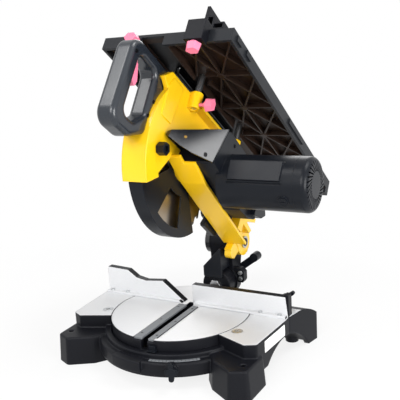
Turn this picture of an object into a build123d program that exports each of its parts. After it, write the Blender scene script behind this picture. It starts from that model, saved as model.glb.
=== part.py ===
from build123d import *
import os
from math import cos, pi, radians, sin

# Compound mitre saw with an upper saw table, in millimetres.
# X is the operator's right, Y the rear and Z up. The origin lies on the bench under the mitre axis.

# Lower table and base
TABLE_Z = 74
DISC_R = 126
DISC_GAP = 1.5
DISC_PLATE_Z = 62
DISC_SKIRT_Z = 40
PAN_FLOOR_Z = 32
PAN_BOTTOM_Z = 22
APRON_R = 150
APRON_TOP_Z = 46
APRON_EDGE = 4
TIER_R = 138
TIER_TOP_Z = 55
PAD_TOP_Z = 50
PAD_TAPER = 4
CASTING_WALL = 8
BASE_HALF = 220
BOLT_X = 172
BOLT_Y = 105
BOLT_HOLE_R = 4.5
BOLT_BOSS_R = 12
BOLT_BOSS_HIGH = 36
WING_SCREW_AT = (133, -42)
WING_SCREW_R = 9
MITRE_BOLT_R = 6

# Mitre lock, on a boss of the apron to the right of the front
LOCK_DEG = 24
LOCK_Z = 38
LOCK_FACE_R = 145
LOCK_SCREW_R = 4

# Fence
FENCE_Y = 38
FENCE_THICK = 13
FENCE_FOOT_Y = 30
FENCE_REAR_FOOT_Y = 56
FENCE_LIFT = 0.4
FENCE_SEAT_X = 130
FENCE_TOP_RIGHT_Z = 111
FOOT_HIGH = 4.5
RIB_TOP_Z = 100
FENCE_BOLT_X = (142, 178)
FENCE_BOLT_Y = 34
FENCE_BOLT_R = 3
LEFT_KNOB_AT = (-156, 108)
RIGHT_SCREW_AT = (178, 100)
STUD_HOLE_R = 3.4

# Kerf slot: the blade leans left, so its lower edge swings right under the table
SLOT_LEFT_X = -5
SLOT_RIGHT_X = 8.5
INSERT_HALF = 20
INSERT_THICK = 4
INSERT_REAR_Y = 28
INSERT_FRONT_Y = -122
INSERT_SCREW_X = 15
INSERT_SCREW_Y = (-105, -45, 15)
TROUGH_LEFT_X = -11
TROUGH_RIGHT_X = 23
TROUGH_FRONT_Y = -116
TROUGH_FLOOR_Z = 46
TROUGH_WALL = 4

# Bevel joint: its axis runs along Y in the table's surface
ARM_HALF = 32
BEVEL_LUG_R = 30
BEVEL_LUG_Y = 140
BEVEL_FACE_Y = 168
BEVEL_FLANGE_R = 33
BEVEL_PIN_R = 9
BEVEL_PIN_END_Y = 221
FLANGE_FROM_Y = BEVEL_FACE_Y + 0.4
FLANGE_TO_Y = 188
CHEEK_Y = (171, 186)
LEVER_Y = (206, 226)

# Head pieces are drawn with the upper table level and stand raised by HEAD_LIFT about the drawing point
DRAW_Y = 175
DRAW_Z = 150
HEAD_LIFT = 36
PIVOT = (193, 152)
AXLE_R = 8
HUB_R = 26
HUB_HALF = 24.5
EAR_R = 27
EAR_IN_X = 25
RIGHT_EAR_X = 40
LEFT_EAR_X = -35
LOCK_PIN_AT = (160, 156)
LOCK_PIN_R = 4

# Blade and drive
ARBOR_Y = -62
ARBOR_Z = 220
BLADE_R = 130
BLADE_BORE_R = 15
BLADE_HALF = 1
BLADE_TEETH = 40
TOOTH_DEPTH = 7
GEAR_MODULE = 1.6
GEAR_TEETH = 36
PINION_TEETH = 9
MOTOR_DEG = -37
MOTOR_R = 46
MOTOR_WALL = 4
ARBOR_R = 10
ARBOR_END_R = 8
ARBOR_BOLT_R = 5
FLANGE_DISC_R = 31
ROTOR_R = 5

# Yellow head casting
WALL_IN_X = 18
WALL_OUT_X = 26
LEFT_WALL_IN_X = -16
LEFT_WALL_OUT_X = -20
RIM_IN_R = 136
RIM_OUT_R = 140
RIM_FROM_DEG = 141
RIM_TO_DEG = 220
FLANGE_OUT_X = 66
FLANGE_FRONT_X = 44
FLANGE_STEP_Y = -109
FLANGE_THICK = 5
FLANGE_LINE = [(-124, 197), (ARBOR_Y, 178), (145, 143)]
TOP_FLANGE_Z = 308

# Lower guard, swung up by the head
GUARD_R = 134.5
GUARD_RIM = 2.5
GUARD_HALF = 13
GUARD_SHEET = 2
GUARD_FROM_DEG = 221
GUARD_TO_DEG = 312
GUARD_HUB_R = 38
GUARD_LEFT_R = 78
GUARD_KNOB_AT = (-164, 192)

# Gear case, motor and front shield; the drive's front face leans back along one line
CASE_FROM_X = WALL_OUT_X + 0.2
CASE_TO_X = FLANGE_OUT_X
BOX_TO_X = 100
BODY_FROM_X = 90
BODY_TO_X = 224
CAP_TO_X = 248
BRUSH_X = 208
LEAN_FROM = (-112, 193)
LEAN_TO = (-86, 268)

# Handle
HANDLE_HALF = 17
TRIGGER_PIVOT = (-258, 297)

# Upper table and rip fence
TOP_LEFT_X = -97
TOP_RIGHT_X = 145
TOP_FRONT_Y = -228
TOP_REAR_Y = 330
TOP_Z = 366
TOP_PLATE = 5
TOP_RIM = 22
RIM_WALL = 5
RIB_DEEP = 10
RIB_THICK = 3
RIB_X = 80
RIB_ROWS = (-123, -18, 87, 192)
WELL_X = ((-32, -29), (29, 32))
POST_R = 6
POST_AT = [(36, -112), (36, 60), (-30, -112), (-30, 60)]
POST_END_Z = 297
SLEEVE_R = 10.6
SLEEVE_WEB_HALF = 8
SLEEVE_ROOM = 13
SLEEVE_Z = (294, 324)
KNOB_Z = 302
INSERT_X = (-28, 30)
INSERT_Y = (-216, 136)
INSERT_LEDGE = 5
TABLE_SLOT_HALF = 2.5
TABLE_SLOT_Y = (-136, 96)
RIP_Y = (-205, 120)
BRACKET_Y = (-246, TOP_FRONT_Y - 0.3)
RIP_KNOB_AT = (88, -237)
KNOB_STUD_R = 3

FIT = 0.05
GAP = 0.3

LIFT_COS = cos(radians(HEAD_LIFT))
LIFT_SIN = sin(radians(HEAD_LIFT))


def head_point(x, y, z):
    """Where a drawn point of the head stands when the head is raised."""
    along, above = y - DRAW_Y, z - DRAW_Z
    return Vector(x, DRAW_Y + along * LIFT_COS + above * LIFT_SIN,
                  DRAW_Z - along * LIFT_SIN + above * LIFT_COS)


def drawn(y, z):
    """The drawn place in the head of a raised point."""
    along, above = y - DRAW_Y, z - DRAW_Z
    return (DRAW_Y + along * LIFT_COS - above * LIFT_SIN, DRAW_Z + along * LIFT_SIN + above * LIFT_COS)


def polar(centre, radius, degrees):
    """A point at an angle round a centre."""
    return (centre[0] + radius * cos(radians(degrees)), centre[1] + radius * sin(radians(degrees)))


def side(x):
    """Head plane at x, drawn in (y, z), with its normal to the right."""
    return Plane(origin=head_point(x, 0, 0), x_dir=(0, LIFT_COS, -LIFT_SIN), z_dir=(1, 0, 0))


def level(z):
    """Head plane at height z, drawn in (x, y), with its normal up."""
    return Plane(origin=head_point(0, 0, z), x_dir=(1, 0, 0), z_dir=(0, LIFT_SIN, LIFT_COS))


def front(y):
    """Head plane at y, drawn in (x, z), with its normal to the front."""
    return Plane(origin=head_point(0, y, 0), x_dir=(1, 0, 0), z_dir=(0, -LIFT_COS, LIFT_SIN))


def base_front(y):
    """Upright plane of the base at y, drawn in (x, z), with its normal to the front."""
    return Plane.XZ.offset(-y)


def base_rear(y):
    """Upright plane of the base at y, drawn in (-x, z), with its normal to the rear."""
    return Plane(origin=(0, y, 0), x_dir=(-1, 0, 0), z_dir=(0, 1, 0))


def mirrored(points, hand):
    """Outline points of the right side, or of the left side when hand is -1."""
    return [(hand * x, y) for x, y in points][::hand]


def bar(plane, at, radius, length, mode=Mode.ADD):
    """A round bar that stands on a plane."""
    with BuildSketch(plane) as outline:
        with Locations(at):
            Circle(radius)
    extrude(outline.sketch, amount=length, mode=mode)


def tube(plane, at, radius, bore, length):
    """A round bar with a bore."""
    with BuildSketch(plane) as outline:
        with Locations(at):
            Circle(radius)
            Circle(bore, mode=Mode.SUBTRACT)
    extrude(outline.sketch, amount=length)


def slab(plane, points, height, corner=0.0, taper=0.0, mode=Mode.ADD):
    """A plate of a straight-sided outline, with its corners rounded and its sides leant in if asked."""
    with BuildSketch(plane) as outline:
        with BuildLine():
            Polyline(*points, close=True)
        make_face()
        if corner:
            fillet(outline.vertices(), radius=corner)
    extrude(outline.sketch, amount=height, taper=taper, mode=mode)


def block(plane, x_range, y_range, height, mode=Mode.ADD):
    """A straight block on a plane, from its two ranges."""
    with BuildSketch(plane) as outline:
        with Locations(((x_range[0] + x_range[1]) / 2, (y_range[0] + y_range[1]) / 2)):
            Rectangle(x_range[1] - x_range[0], y_range[1] - y_range[0])
    extrude(outline.sketch, amount=height, mode=mode)


def hexagon(plane, at, across, height):
    """A hexagon bar by its size across flats."""
    with BuildSketch(plane) as outline:
        with Locations(at):
            RegularPolygon(across / 2, 6, major_radius=False)
    extrude(outline.sketch, amount=height)


def slot_bar(plane, at, length, width, height, turn=0.0):
    """A bar with two round ends, turned in its plane."""
    with BuildSketch(plane) as outline:
        with Locations(at):
            SlotOverall(length, width, rotation=turn)
    extrude(outline.sketch, amount=height)


def sector(plane, centre, inner, outer, from_deg, to_deg, height, mode=Mode.ADD):
    """Part of a ring, between two angles of less than half a turn."""
    middle = (from_deg + to_deg) / 2
    with BuildSketch(plane) as outline:
        with BuildLine():
            ThreePointArc(polar(centre, outer, from_deg), polar(centre, outer, middle),
                          polar(centre, outer, to_deg))
            Line(polar(centre, outer, to_deg), polar(centre, inner, to_deg))
            ThreePointArc(polar(centre, inner, to_deg), polar(centre, inner, middle),
                          polar(centre, inner, from_deg))
            Line(polar(centre, inner, from_deg), polar(centre, outer, from_deg))
        make_face()
    extrude(outline.sketch, amount=height, mode=mode)


def toothed(teeth, root_r, tip_r, root_share, tip_share, lean=0.0, phase=0.0):
    """Outline points of a toothed wheel: each tooth is a trapezoid, leant by a share of the pitch."""
    points = []
    pitch = 2 * pi / teeth
    for index in range(teeth):
        middle = phase + index * pitch
        for radius, offset in ((root_r, -root_share / 2), (tip_r, lean - tip_share / 2),
                               (tip_r, lean + tip_share / 2), (root_r, root_share / 2)):
            angle = middle + offset * pitch
            points.append((radius * cos(angle), radius * sin(angle)))
    return points


def wheel(plane, centre, points, height):
    """A toothed wheel on a plane, moved to its centre."""
    slab(plane, [(centre[0] + y, centre[1] + z) for y, z in points], height)


def wing_knob(plane, at, length, width, height, stud_length, turn=0.0):
    """A moulded knob, a long hexagon with leant sides, on a stud that runs back behind the plane."""
    shoulder = Vector(length / 4, width / 2)
    waist = shoulder.get_signed_angle(Vector(1, 0), Vector(0, 0, -1))
    points = [polar(at, length / 2, turn), polar(at, shoulder.length, turn + waist),
              polar(at, shoulder.length, turn + 180 - waist), polar(at, length / 2, turn + 180),
              polar(at, shoulder.length, turn + 180 + waist), polar(at, shoulder.length, turn - waist)]
    slab(plane, points, height, corner=2.5, taper=7)
    bar(plane, at, width * 0.4, -3)
    bar(plane.offset(-3), at, KNOB_STUD_R, 3 - stud_length)


def finish(builder, name):
    """Label a finished piece and write it."""
    builder.part.label = name
    export_step(builder.part, f"parts/{name}.step")


os.makedirs("parts", exist_ok=True)
ARBOR = (ARBOR_Y, ARBOR_Z)
GEAR_SPACING = GEAR_MODULE * (GEAR_TEETH + PINION_TEETH) / 2
MOTOR = polar(ARBOR, GEAR_SPACING, MOTOR_DEG)
HEAD_PIVOT = drawn(*PIVOT)
LOCK_DIR = Vector(sin(radians(LOCK_DEG)), -cos(radians(LOCK_DEG)), 0)
LOCK_PLANE = Plane(origin=LOCK_DIR * LOCK_FACE_R + Vector(0, 0, LOCK_Z), x_dir=(0, 0, 1), z_dir=LOCK_DIR)
BRUSH_DEG = (60, 240)


def brush_plane(degrees):
    """Plane inside the motor's wall, square to the way a brush cap is screwed out."""
    way = head_point(0, *polar((0, 0), 1, degrees)) - head_point(0, 0, 0)
    return Plane(origin=head_point(BRUSH_X, *polar(MOTOR, MOTOR_R - 8, degrees)), x_dir=(1, 0, 0), z_dir=way)


# Base casting: pan with a stepped front apron, two wings, four feet and arched sides
WING = [(92, -60), (104, -62), (165, -86), (184, -77), (192, 26), (192, 56), (92, 56)]
WING_POCKET = [(156, -66), (174, -64), (183, 22), (183, 48), (156, 48)]
FRONT_PAD = [(92, -78), (118, -112), (160, -137), (190, -124), (192, -60), (150, -46)]
PAD_POCKET = [(124, -100), (160, -121), (177, -113), (180, -78), (150, -78)]
REAR_LEG = [(142, 40), (192, 40), (212, 130), (204, 148), (182, 148), (166, 118), (158, 90)]
LEG_POCKET = [(170, 97), (196, 97), (203, 128), (198, 139), (185, 139), (174, 118)]
LEG_POCKET_Z = 26
REAR_WALL_CUT = [(-136, 57), (136, 57), (150, 160), (-150, 160)]
LIP = (140, 158, 252, 274)
LIP_Z = (30, 48)

with BuildPart() as base:
    bar(Plane.XY.offset(PAN_BOTTOM_Z), (0, 0), APRON_R, APRON_TOP_Z - PAN_BOTTOM_Z)
    fillet(base.edges().filter_by(GeomType.CIRCLE).sort_by(Axis.Z)[-1], radius=APRON_EDGE)
    bar(Plane.XY.offset(PAN_BOTTOM_Z), (0, 0), TIER_R, TIER_TOP_Z - PAN_BOTTOM_Z)
    sector(Plane.XY.offset(LIP_Z[0]), (0, 0), *LIP, LIP_Z[1] - LIP_Z[0])
    for hand in (1, -1):
        slab(Plane.XY.offset(PAN_BOTTOM_Z), mirrored(WING, hand), TABLE_Z - PAN_BOTTOM_Z, corner=4)
        slab(Plane.XY, mirrored(REAR_LEG, hand), TABLE_Z, corner=5)
        with BuildPart(mode=Mode.PRIVATE) as pad:
            slab(Plane.XY, mirrored(FRONT_PAD, hand), PAD_TOP_Z, corner=10, taper=PAD_TAPER)
            fillet(pad.faces().sort_by(Axis.Z)[-1].edges(), radius=3)
        add(pad.part)
    # The rear legs fall away from the table to their feet along an arc
    with BuildSketch(Plane.YZ.offset(-BASE_HALF)):
        with BuildLine():
            ThreePointArc((62, TABLE_Z), (115, 62), (150, 30))
            Polyline((150, 30), (160, 30), (160, 90), (62, 90), (62, TABLE_Z))
        make_face()
    extrude(amount=2 * BASE_HALF, mode=Mode.SUBTRACT)
    # Arched sides between the front and the rear feet
    with BuildSketch(Plane.YZ.offset(-BASE_HALF)):
        with BuildLine():
            ThreePointArc((-60, 0), (20, 46), (102, 0))
            Polyline((102, 0), (102, -1), (-60, -1), (-60, 0))
        make_face()
    extrude(amount=2 * BASE_HALF, mode=Mode.SUBTRACT)
    bar(Plane.XY.offset(PAN_BOTTOM_Z), (0, 0), APRON_R, PAN_FLOOR_Z - PAN_BOTTOM_Z)
    # Round pan for the turntable, and the low rear wall that its arm swings over
    bar(Plane.XY.offset(PAN_FLOOR_Z), (0, 0), DISC_R + DISC_GAP, TABLE_Z, mode=Mode.SUBTRACT)
    slab(Plane.XY.offset(DISC_SKIRT_Z - 1), REAR_WALL_CUT, TABLE_Z, mode=Mode.SUBTRACT)
    for hand in (1, -1):
        # Pockets under the wings, pads and legs
        slab(Plane.XY.offset(PAN_BOTTOM_Z - 1), mirrored(WING_POCKET, hand),
             TABLE_Z - CASTING_WALL - PAN_BOTTOM_Z, mode=Mode.SUBTRACT)
        slab(Plane.XY.offset(-1), mirrored(PAD_POCKET, hand), PAD_TOP_Z - CASTING_WALL, mode=Mode.SUBTRACT)
        slab(Plane.XY.offset(-1), mirrored(LEG_POCKET, hand), LEG_POCKET_Z, mode=Mode.SUBTRACT)
        # Foot bolts and the seat of the wing screw
        for y in (-BOLT_Y, BOLT_Y):
            bar(Plane.XY, (hand * BOLT_X, y), BOLT_BOSS_R, BOLT_BOSS_HIGH)
            bar(Plane.XY.offset(-1), (hand * BOLT_X, y), BOLT_HOLE_R, TABLE_Z + 2, mode=Mode.SUBTRACT)
        wing_at = (hand * WING_SCREW_AT[0], WING_SCREW_AT[1])
        bar(Plane.XY.offset(TABLE_Z), wing_at, WING_SCREW_R + 0.4, -3, mode=Mode.SUBTRACT)
        bar(Plane.XY.offset(TABLE_Z), wing_at, 3.2, -14, mode=Mode.SUBTRACT)
    bar(Plane.XY.offset(PAN_BOTTOM_Z - 1), (0, 0), MITRE_BOLT_R + GAP, 20, mode=Mode.SUBTRACT)
    # Threaded boss of the mitre lock screw
    bar(LOCK_PLANE, (0, 0), 9.5, 11)
    bar(LOCK_PLANE.offset(-20), (0, 0), LOCK_SCREW_R + GAP, 40, mode=Mode.SUBTRACT)
finish(base, "base_casting")

with BuildPart() as wing_screws:
    for hand in (1, -1):
        wing_at = (hand * WING_SCREW_AT[0], WING_SCREW_AT[1])
        bar(Plane.XY.offset(TABLE_Z - 3), wing_at, WING_SCREW_R, 3.2)
        bar(Plane.XY.offset(TABLE_Z - 13), wing_at, 3, 10)
        with BuildSketch(Plane.XY.offset(TABLE_Z + 0.2)):
            with Locations(wing_at):
                Rectangle(12, 2)
                Rectangle(2, 12)
        extrude(amount=-1.5, mode=Mode.SUBTRACT)
finish(wing_screws, "wing_screws")

with BuildPart() as mitre_scale:
    sector(Plane.XY.offset(APRON_TOP_Z), (0, 0), TIER_R + 0.5, APRON_R - APRON_EDGE - 1.5, 278, 312, 0.8)
finish(mitre_scale, "mitre_scale")

with BuildPart() as mitre_lock_screw:
    bar(LOCK_PLANE.offset(-12), (0, 0), LOCK_SCREW_R, 28)
    bar(LOCK_PLANE.offset(12), (0, 0), 8, 10)
    slot_bar(LOCK_PLANE.offset(14), (0, 0), 32, 9, 7)
    slot_bar(LOCK_PLANE.offset(15), (0, 0), 22, 11, 5, turn=90)
finish(mitre_lock_screw, "mitre_lock_screw")

with BuildPart() as mitre_bolt:
    bar(Plane.XY.offset(PAN_BOTTOM_Z - 7), (0, 0), MITRE_BOLT_R, 27.5)
    hexagon(Plane.XY.offset(PAN_BOTTOM_Z - 7), (0, 0), 19, 7)
finish(mitre_bolt, "mitre_bolt")

# Fence halves: cast angle bars with a low foot in front, ribs behind and a cut that clears the tilted blade
LEFT_FACE = [(-188, TABLE_Z), (-188, 125), (-140, 123), (-121, 110), (-100, 106), (-61, 110),
             (-15, TABLE_Z + FENCE_LIFT), (-FENCE_SEAT_X, TABLE_Z + FENCE_LIFT), (-FENCE_SEAT_X, TABLE_Z)]
RIGHT_FACE = [(192, TABLE_Z), (188, FENCE_TOP_RIGHT_Z), (4, FENCE_TOP_RIGHT_Z), (4, TABLE_Z + FENCE_LIFT),
              (FENCE_SEAT_X, TABLE_Z + FENCE_LIFT), (FENCE_SEAT_X, TABLE_Z)]
LEFT_TOE = [(-FENCE_SEAT_X, TABLE_Z + FENCE_LIFT), (-FENCE_SEAT_X, TABLE_Z + FOOT_HIGH),
            (-22, TABLE_Z + FOOT_HIGH), (-16, TABLE_Z + FENCE_LIFT)]
FENCE_RIB = [(FENCE_Y + FENCE_THICK, TABLE_Z), (FENCE_REAR_FOOT_Y, TABLE_Z),
             (FENCE_Y + FENCE_THICK, RIB_TOP_Z)]
FENCE_RIB_THICK = 4
END_POST_X = (184, 192)
END_POST_Y = (42, 57)

with BuildPart() as fence_left:
    slab(base_front(FENCE_Y), LEFT_FACE, -FENCE_THICK)
    block(base_front(FENCE_FOOT_Y), (-188, -FENCE_SEAT_X), (TABLE_Z, TABLE_Z + FOOT_HIGH),
          FENCE_FOOT_Y - FENCE_REAR_FOOT_Y)
    slab(base_front(FENCE_FOOT_Y), LEFT_TOE, FENCE_FOOT_Y - FENCE_Y)
    for x in (-184, -168, -140):
        slab(Plane.YZ.offset(x), FENCE_RIB, FENCE_RIB_THICK)
    bar(base_front(FENCE_Y + 1), LEFT_KNOB_AT, STUD_HOLE_R, -20, mode=Mode.SUBTRACT)
    for x in FENCE_BOLT_X:
        bar(Plane.XY.offset(TABLE_Z - 1), (-x, FENCE_BOLT_Y), FENCE_BOLT_R + GAP, 10, mode=Mode.SUBTRACT)
finish(fence_left, "fence_left")

with BuildPart() as fence_right:
    slab(base_front(FENCE_Y), RIGHT_FACE, -FENCE_THICK)
    block(base_front(FENCE_FOOT_Y), (FENCE_SEAT_X, 190), (TABLE_Z, TABLE_Z + FOOT_HIGH),
          FENCE_FOOT_Y - FENCE_REAR_FOOT_Y)
    block(base_front(FENCE_FOOT_Y), (9, FENCE_SEAT_X), (TABLE_Z + FENCE_LIFT, TABLE_Z + FOOT_HIGH),
          FENCE_FOOT_Y - FENCE_Y)
    for x in (132, 146, 160):
        slab(Plane.YZ.offset(x), FENCE_RIB, FENCE_RIB_THICK)
    block(Plane.XY.offset(TABLE_Z), END_POST_X, END_POST_Y, FENCE_TOP_RIGHT_Z + 2 - TABLE_Z)
    bar(base_front(FENCE_Y + 4), RIGHT_SCREW_AT, STUD_HOLE_R, -20, mode=Mode.SUBTRACT)
    for x in FENCE_BOLT_X:
        bar(Plane.XY.offset(TABLE_Z - 1), (x, FENCE_BOLT_Y), FENCE_BOLT_R + GAP, 10, mode=Mode.SUBTRACT)
finish(fence_right, "fence_right")

with BuildPart() as fence_bolts:
    for x in FENCE_BOLT_X:
        for hand in (1, -1):
            bar(Plane.XY.offset(TABLE_Z + FOOT_HIGH), (hand * x, FENCE_BOLT_Y), FENCE_BOLT_R + 0.6, 2.2)
            bar(Plane.XY.offset(TABLE_Z + 0.2), (hand * x, FENCE_BOLT_Y), FENCE_BOLT_R, FOOT_HIGH - 0.2)
finish(fence_bolts, "fence_bolts")

with BuildPart() as left_fence_knob:
    wing_knob(base_rear(FENCE_Y + FENCE_THICK + 8), (-LEFT_KNOB_AT[0], LEFT_KNOB_AT[1]), 18, 14, 10, 17,
              turn=90)
finish(left_fence_knob, "left_fence_knob")

with BuildPart() as right_fence_screw:
    bar(base_front(FENCE_Y + 6), RIGHT_SCREW_AT, KNOB_STUD_R, -22)
    bar(base_front(END_POST_Y[1] + 1), RIGHT_SCREW_AT, 7, -9)
    slot_bar(base_front(END_POST_Y[1] + 4), (RIGHT_SCREW_AT[0] + 5, RIGHT_SCREW_AT[1] + 4), 28, 7, -6,
             turn=35)
finish(right_fence_screw, "right_fence_screw")

# Turntable: skirted disc with a trough for the blade and a rear arm that carries the bevel lug
TROUGH_OUT_X = (TROUGH_LEFT_X - TROUGH_WALL, TROUGH_RIGHT_X + TROUGH_WALL)
TURN_BOSS_R = 26
with BuildPart() as turntable:
    bar(Plane.XY.offset(DISC_PLATE_Z), (0, 0), DISC_R, TABLE_Z - DISC_PLATE_Z)
    tube(Plane.XY.offset(DISC_SKIRT_Z), (0, 0), DISC_R, DISC_R - CASTING_WALL, DISC_PLATE_Z - DISC_SKIRT_Z)
    block(Plane.XY.offset(TROUGH_FLOOR_Z - 3), TROUGH_OUT_X, (-122, 40), DISC_PLATE_Z + 3 - TROUGH_FLOOR_Z)
    bar(Plane.XY.offset(PAN_FLOOR_Z + GAP), (0, 0), TURN_BOSS_R, TROUGH_FLOOR_Z - PAN_FLOOR_Z - GAP)
    block(Plane.XY.offset(DISC_SKIRT_Z + 2), (-ARM_HALF, ARM_HALF), (60, BEVEL_FACE_Y),
          DISC_PLATE_Z - DISC_SKIRT_Z - 2)
    bar(base_front(BEVEL_FACE_Y), (0, TABLE_Z), BEVEL_LUG_R, BEVEL_FACE_Y - BEVEL_LUG_Y)
    # Seat for the kerf inserts, the blade slot and its trough, open at the front rim
    block(Plane.XY.offset(TABLE_Z - INSERT_THICK), (-INSERT_HALF, INSERT_HALF), (-DISC_R - 2, INSERT_REAR_Y),
          20, mode=Mode.SUBTRACT)
    block(Plane.XY.offset(TROUGH_FLOOR_Z), (TROUGH_LEFT_X, TROUGH_RIGHT_X),
          (TROUGH_FRONT_Y, INSERT_REAR_Y - 4), 40, mode=Mode.SUBTRACT)
    block(Plane.XY.offset(TROUGH_FLOOR_Z + 8), (SLOT_LEFT_X, SLOT_RIGHT_X),
          (-DISC_R - 2, TROUGH_FRONT_Y + 4), 40, mode=Mode.SUBTRACT)
    block(Plane.XY.offset(TABLE_Z - 20), (SLOT_LEFT_X, SLOT_RIGHT_X), (0, 42), 40, mode=Mode.SUBTRACT)
    bar(Plane.XY.offset(PAN_FLOOR_Z), (0, 0), MITRE_BOLT_R + FIT, 11, mode=Mode.SUBTRACT)
    bar(base_front(BEVEL_FACE_Y + 1), (0, TABLE_Z), BEVEL_PIN_R + FIT, 50, mode=Mode.SUBTRACT)
    bar(base_front(BEVEL_LUG_Y), (0, TABLE_Z), 15, 10, mode=Mode.SUBTRACT)
finish(turntable, "turntable")

with BuildPart() as kerf_insert_left:
    block(Plane.XY.offset(TABLE_Z - INSERT_THICK), (-INSERT_HALF + 0.2, SLOT_LEFT_X),
          (INSERT_FRONT_Y, INSERT_REAR_Y - GAP), INSERT_THICK - 0.2)
    for y in INSERT_SCREW_Y:
        bar(Plane.XY.offset(TABLE_Z), (-INSERT_SCREW_X, y), 2.4, -10, mode=Mode.SUBTRACT)
finish(kerf_insert_left, "kerf_insert_left")

with BuildPart() as kerf_insert_right:
    block(Plane.XY.offset(TABLE_Z - INSERT_THICK), (SLOT_RIGHT_X, INSERT_HALF - 0.2),
          (INSERT_FRONT_Y, INSERT_REAR_Y - GAP), INSERT_THICK - 0.2)
    for y in INSERT_SCREW_Y:
        bar(Plane.XY.offset(TABLE_Z), (INSERT_SCREW_X, y), 2.4, -10, mode=Mode.SUBTRACT)
finish(kerf_insert_right, "kerf_insert_right")

with BuildPart() as insert_screws:
    for x in (-INSERT_SCREW_X, INSERT_SCREW_X):
        for y in INSERT_SCREW_Y:
            bar(Plane.XY.offset(TABLE_Z - INSERT_THICK), (x, y), 2.3, INSERT_THICK - 0.5)
finish(insert_screws, "insert_screws")

with BuildPart() as mitre_pointer:
    block(Plane.XY.offset(TIER_TOP_Z + 1.4), (11, 27), (-DISC_R - 7, -DISC_R + 2), 1.2)
    block(Plane.XY.offset(TIER_TOP_Z + 1.4), (13, 25), (-DISC_R - 3, -DISC_R + 2), 9)
    bar(Plane.XY, (0, 0), DISC_R, 100, mode=Mode.SUBTRACT)
finish(mitre_pointer, "mitre_pointer")

with BuildPart() as bevel_pin:
    bar(base_front(BEVEL_LUG_Y - GAP), (0, TABLE_Z), BEVEL_PIN_R, BEVEL_LUG_Y - GAP - BEVEL_PIN_END_Y)
    hexagon(base_front(BEVEL_LUG_Y - GAP), (0, TABLE_Z), 22, 7)
finish(bevel_pin, "bevel_pin")

# Bevel arm: flange on the bevel axis, column and pivot hub for the head, and a cheek with the stop screws
COLUMN = [(FLANGE_FROM_Y, 80), (FLANGE_FROM_Y, 125), (PIVOT[0] - HUB_R, PIVOT[1]),
          (PIVOT[0] + HUB_R, PIVOT[1]), (207, 104), (198, 80)]
COLUMN_HALF = 24
CHEEK = [(20, 73), (44, 73), (47, 78), (47, 95), (40, 102), (20, 102)]
STOP_SCREWS = [(40, 94), (40, 82)]
with BuildPart() as bevel_arm:
    bar(base_front(FLANGE_FROM_Y), (0, TABLE_Z), BEVEL_FLANGE_R, FLANGE_FROM_Y - FLANGE_TO_Y)
    slab(Plane.YZ.offset(-COLUMN_HALF), COLUMN, 2 * COLUMN_HALF)
    bar(Plane.YZ.offset(-HUB_HALF), PIVOT, HUB_R, 2 * HUB_HALF)
    slab(base_front(CHEEK_Y[0]), CHEEK, CHEEK_Y[0] - CHEEK_Y[1])
    bar(Plane.YZ.offset(-40), PIVOT, AXLE_R + FIT, 80, mode=Mode.SUBTRACT)
    bar(base_front(FLANGE_FROM_Y - 1), (0, TABLE_Z), BEVEL_PIN_R + FIT, -40, mode=Mode.SUBTRACT)
finish(bevel_arm, "bevel_arm")

with BuildPart() as bevel_stop_screws:
    for x, z in STOP_SCREWS:
        hexagon(base_front(CHEEK_Y[0]), (x, z), 8, 5)
finish(bevel_stop_screws, "bevel_stop_screws")

LEVER = [(-7, 78), (7, 70), (58, 108), (56, 120), (46, 118)]
LEVER_GRIP_AT = (52, 114)
with BuildPart() as bevel_lock_lever:
    bar(base_front(LEVER_Y[0]), (0, TABLE_Z), 15, LEVER_Y[0] - LEVER_Y[1])
    slab(base_front(LEVER_Y[0] + 9), LEVER, -9, corner=3)
    bar(base_front(LEVER_Y[0] + 4), LEVER_GRIP_AT, 9, -20)
    bar(base_front(LEVER_Y[0] - 1), (0, TABLE_Z), BEVEL_PIN_R + GAP, LEVER_Y[0] - 1 - BEVEL_PIN_END_Y - GAP,
        mode=Mode.SUBTRACT)
finish(bevel_lock_lever, "bevel_lock_lever")

# Head casting: blade housing of two walls and a front rim, arm with a wide lower flange, and two pivot ears
HOUSING_TOP = [(-203, 303), (-184, 322), (-122, 322), (-98, TOP_FLANGE_Z), (78, TOP_FLANGE_Z), (112, 250)]
HOUSING_FRONT = [polar(ARBOR, RIM_OUT_R, RIM_TO_DEG), (-184, 290)]
RIGHT_WALL = HOUSING_TOP + [(134, 206), (141, 178)] + FLANGE_LINE[::-1] + [(-156, 141)] + HOUSING_FRONT
LEFT_WALL = HOUSING_TOP + [(116, 205), (40, 205), (-40, 200), (-105, 200), (-150, 160)] + HOUSING_FRONT
COWL = [(-203, 303), (-184, 322), (-179, 318), (-196, 301)]
FLANGE_TOP = [(y, z + FLANGE_THICK) for y, z in FLANGE_LINE[::-1]]
WALL_PAD = [(-186, 296), (-178, 314), (-146, 314), (-152, 243), (-184, 243)]
EAR = [(120, 165), (124, 206), (150, 204), (186, 190), (214, 172), (214, 150), (188, 136), (150, 150)]
LEFT_EAR = [(100, 212), (100, 246), (140, 242), (190, 226), (216, 190), (216, 150), (188, 136), (164, 150),
            (160, 170), (179, 198), (177, 208)]
EAR_SHELF = [(104, 160), (104, 206), (150, 212), (172, 206), (172, 199), (142, 190), (122, 176), (122, 160)]
EAR_SHELF_X = 62
EAR_RIB = [(130, 184), (140, 194), (178, 184), (172, 176)]
EAR_POCKETS = [[(128, 174), (143, 178), (150, 166), (147, 157), (133, 164)],
               [(150, 188), (168, 184), (164, 176), (154, 174)]]
POCKET_DEEP = 6
STOP_LOBE_AT = (154, 126)
STOP_WEB = [(140, 128), (150, 152), (178, 142), (164, 118)]
LOBE_THICK = 14

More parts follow.
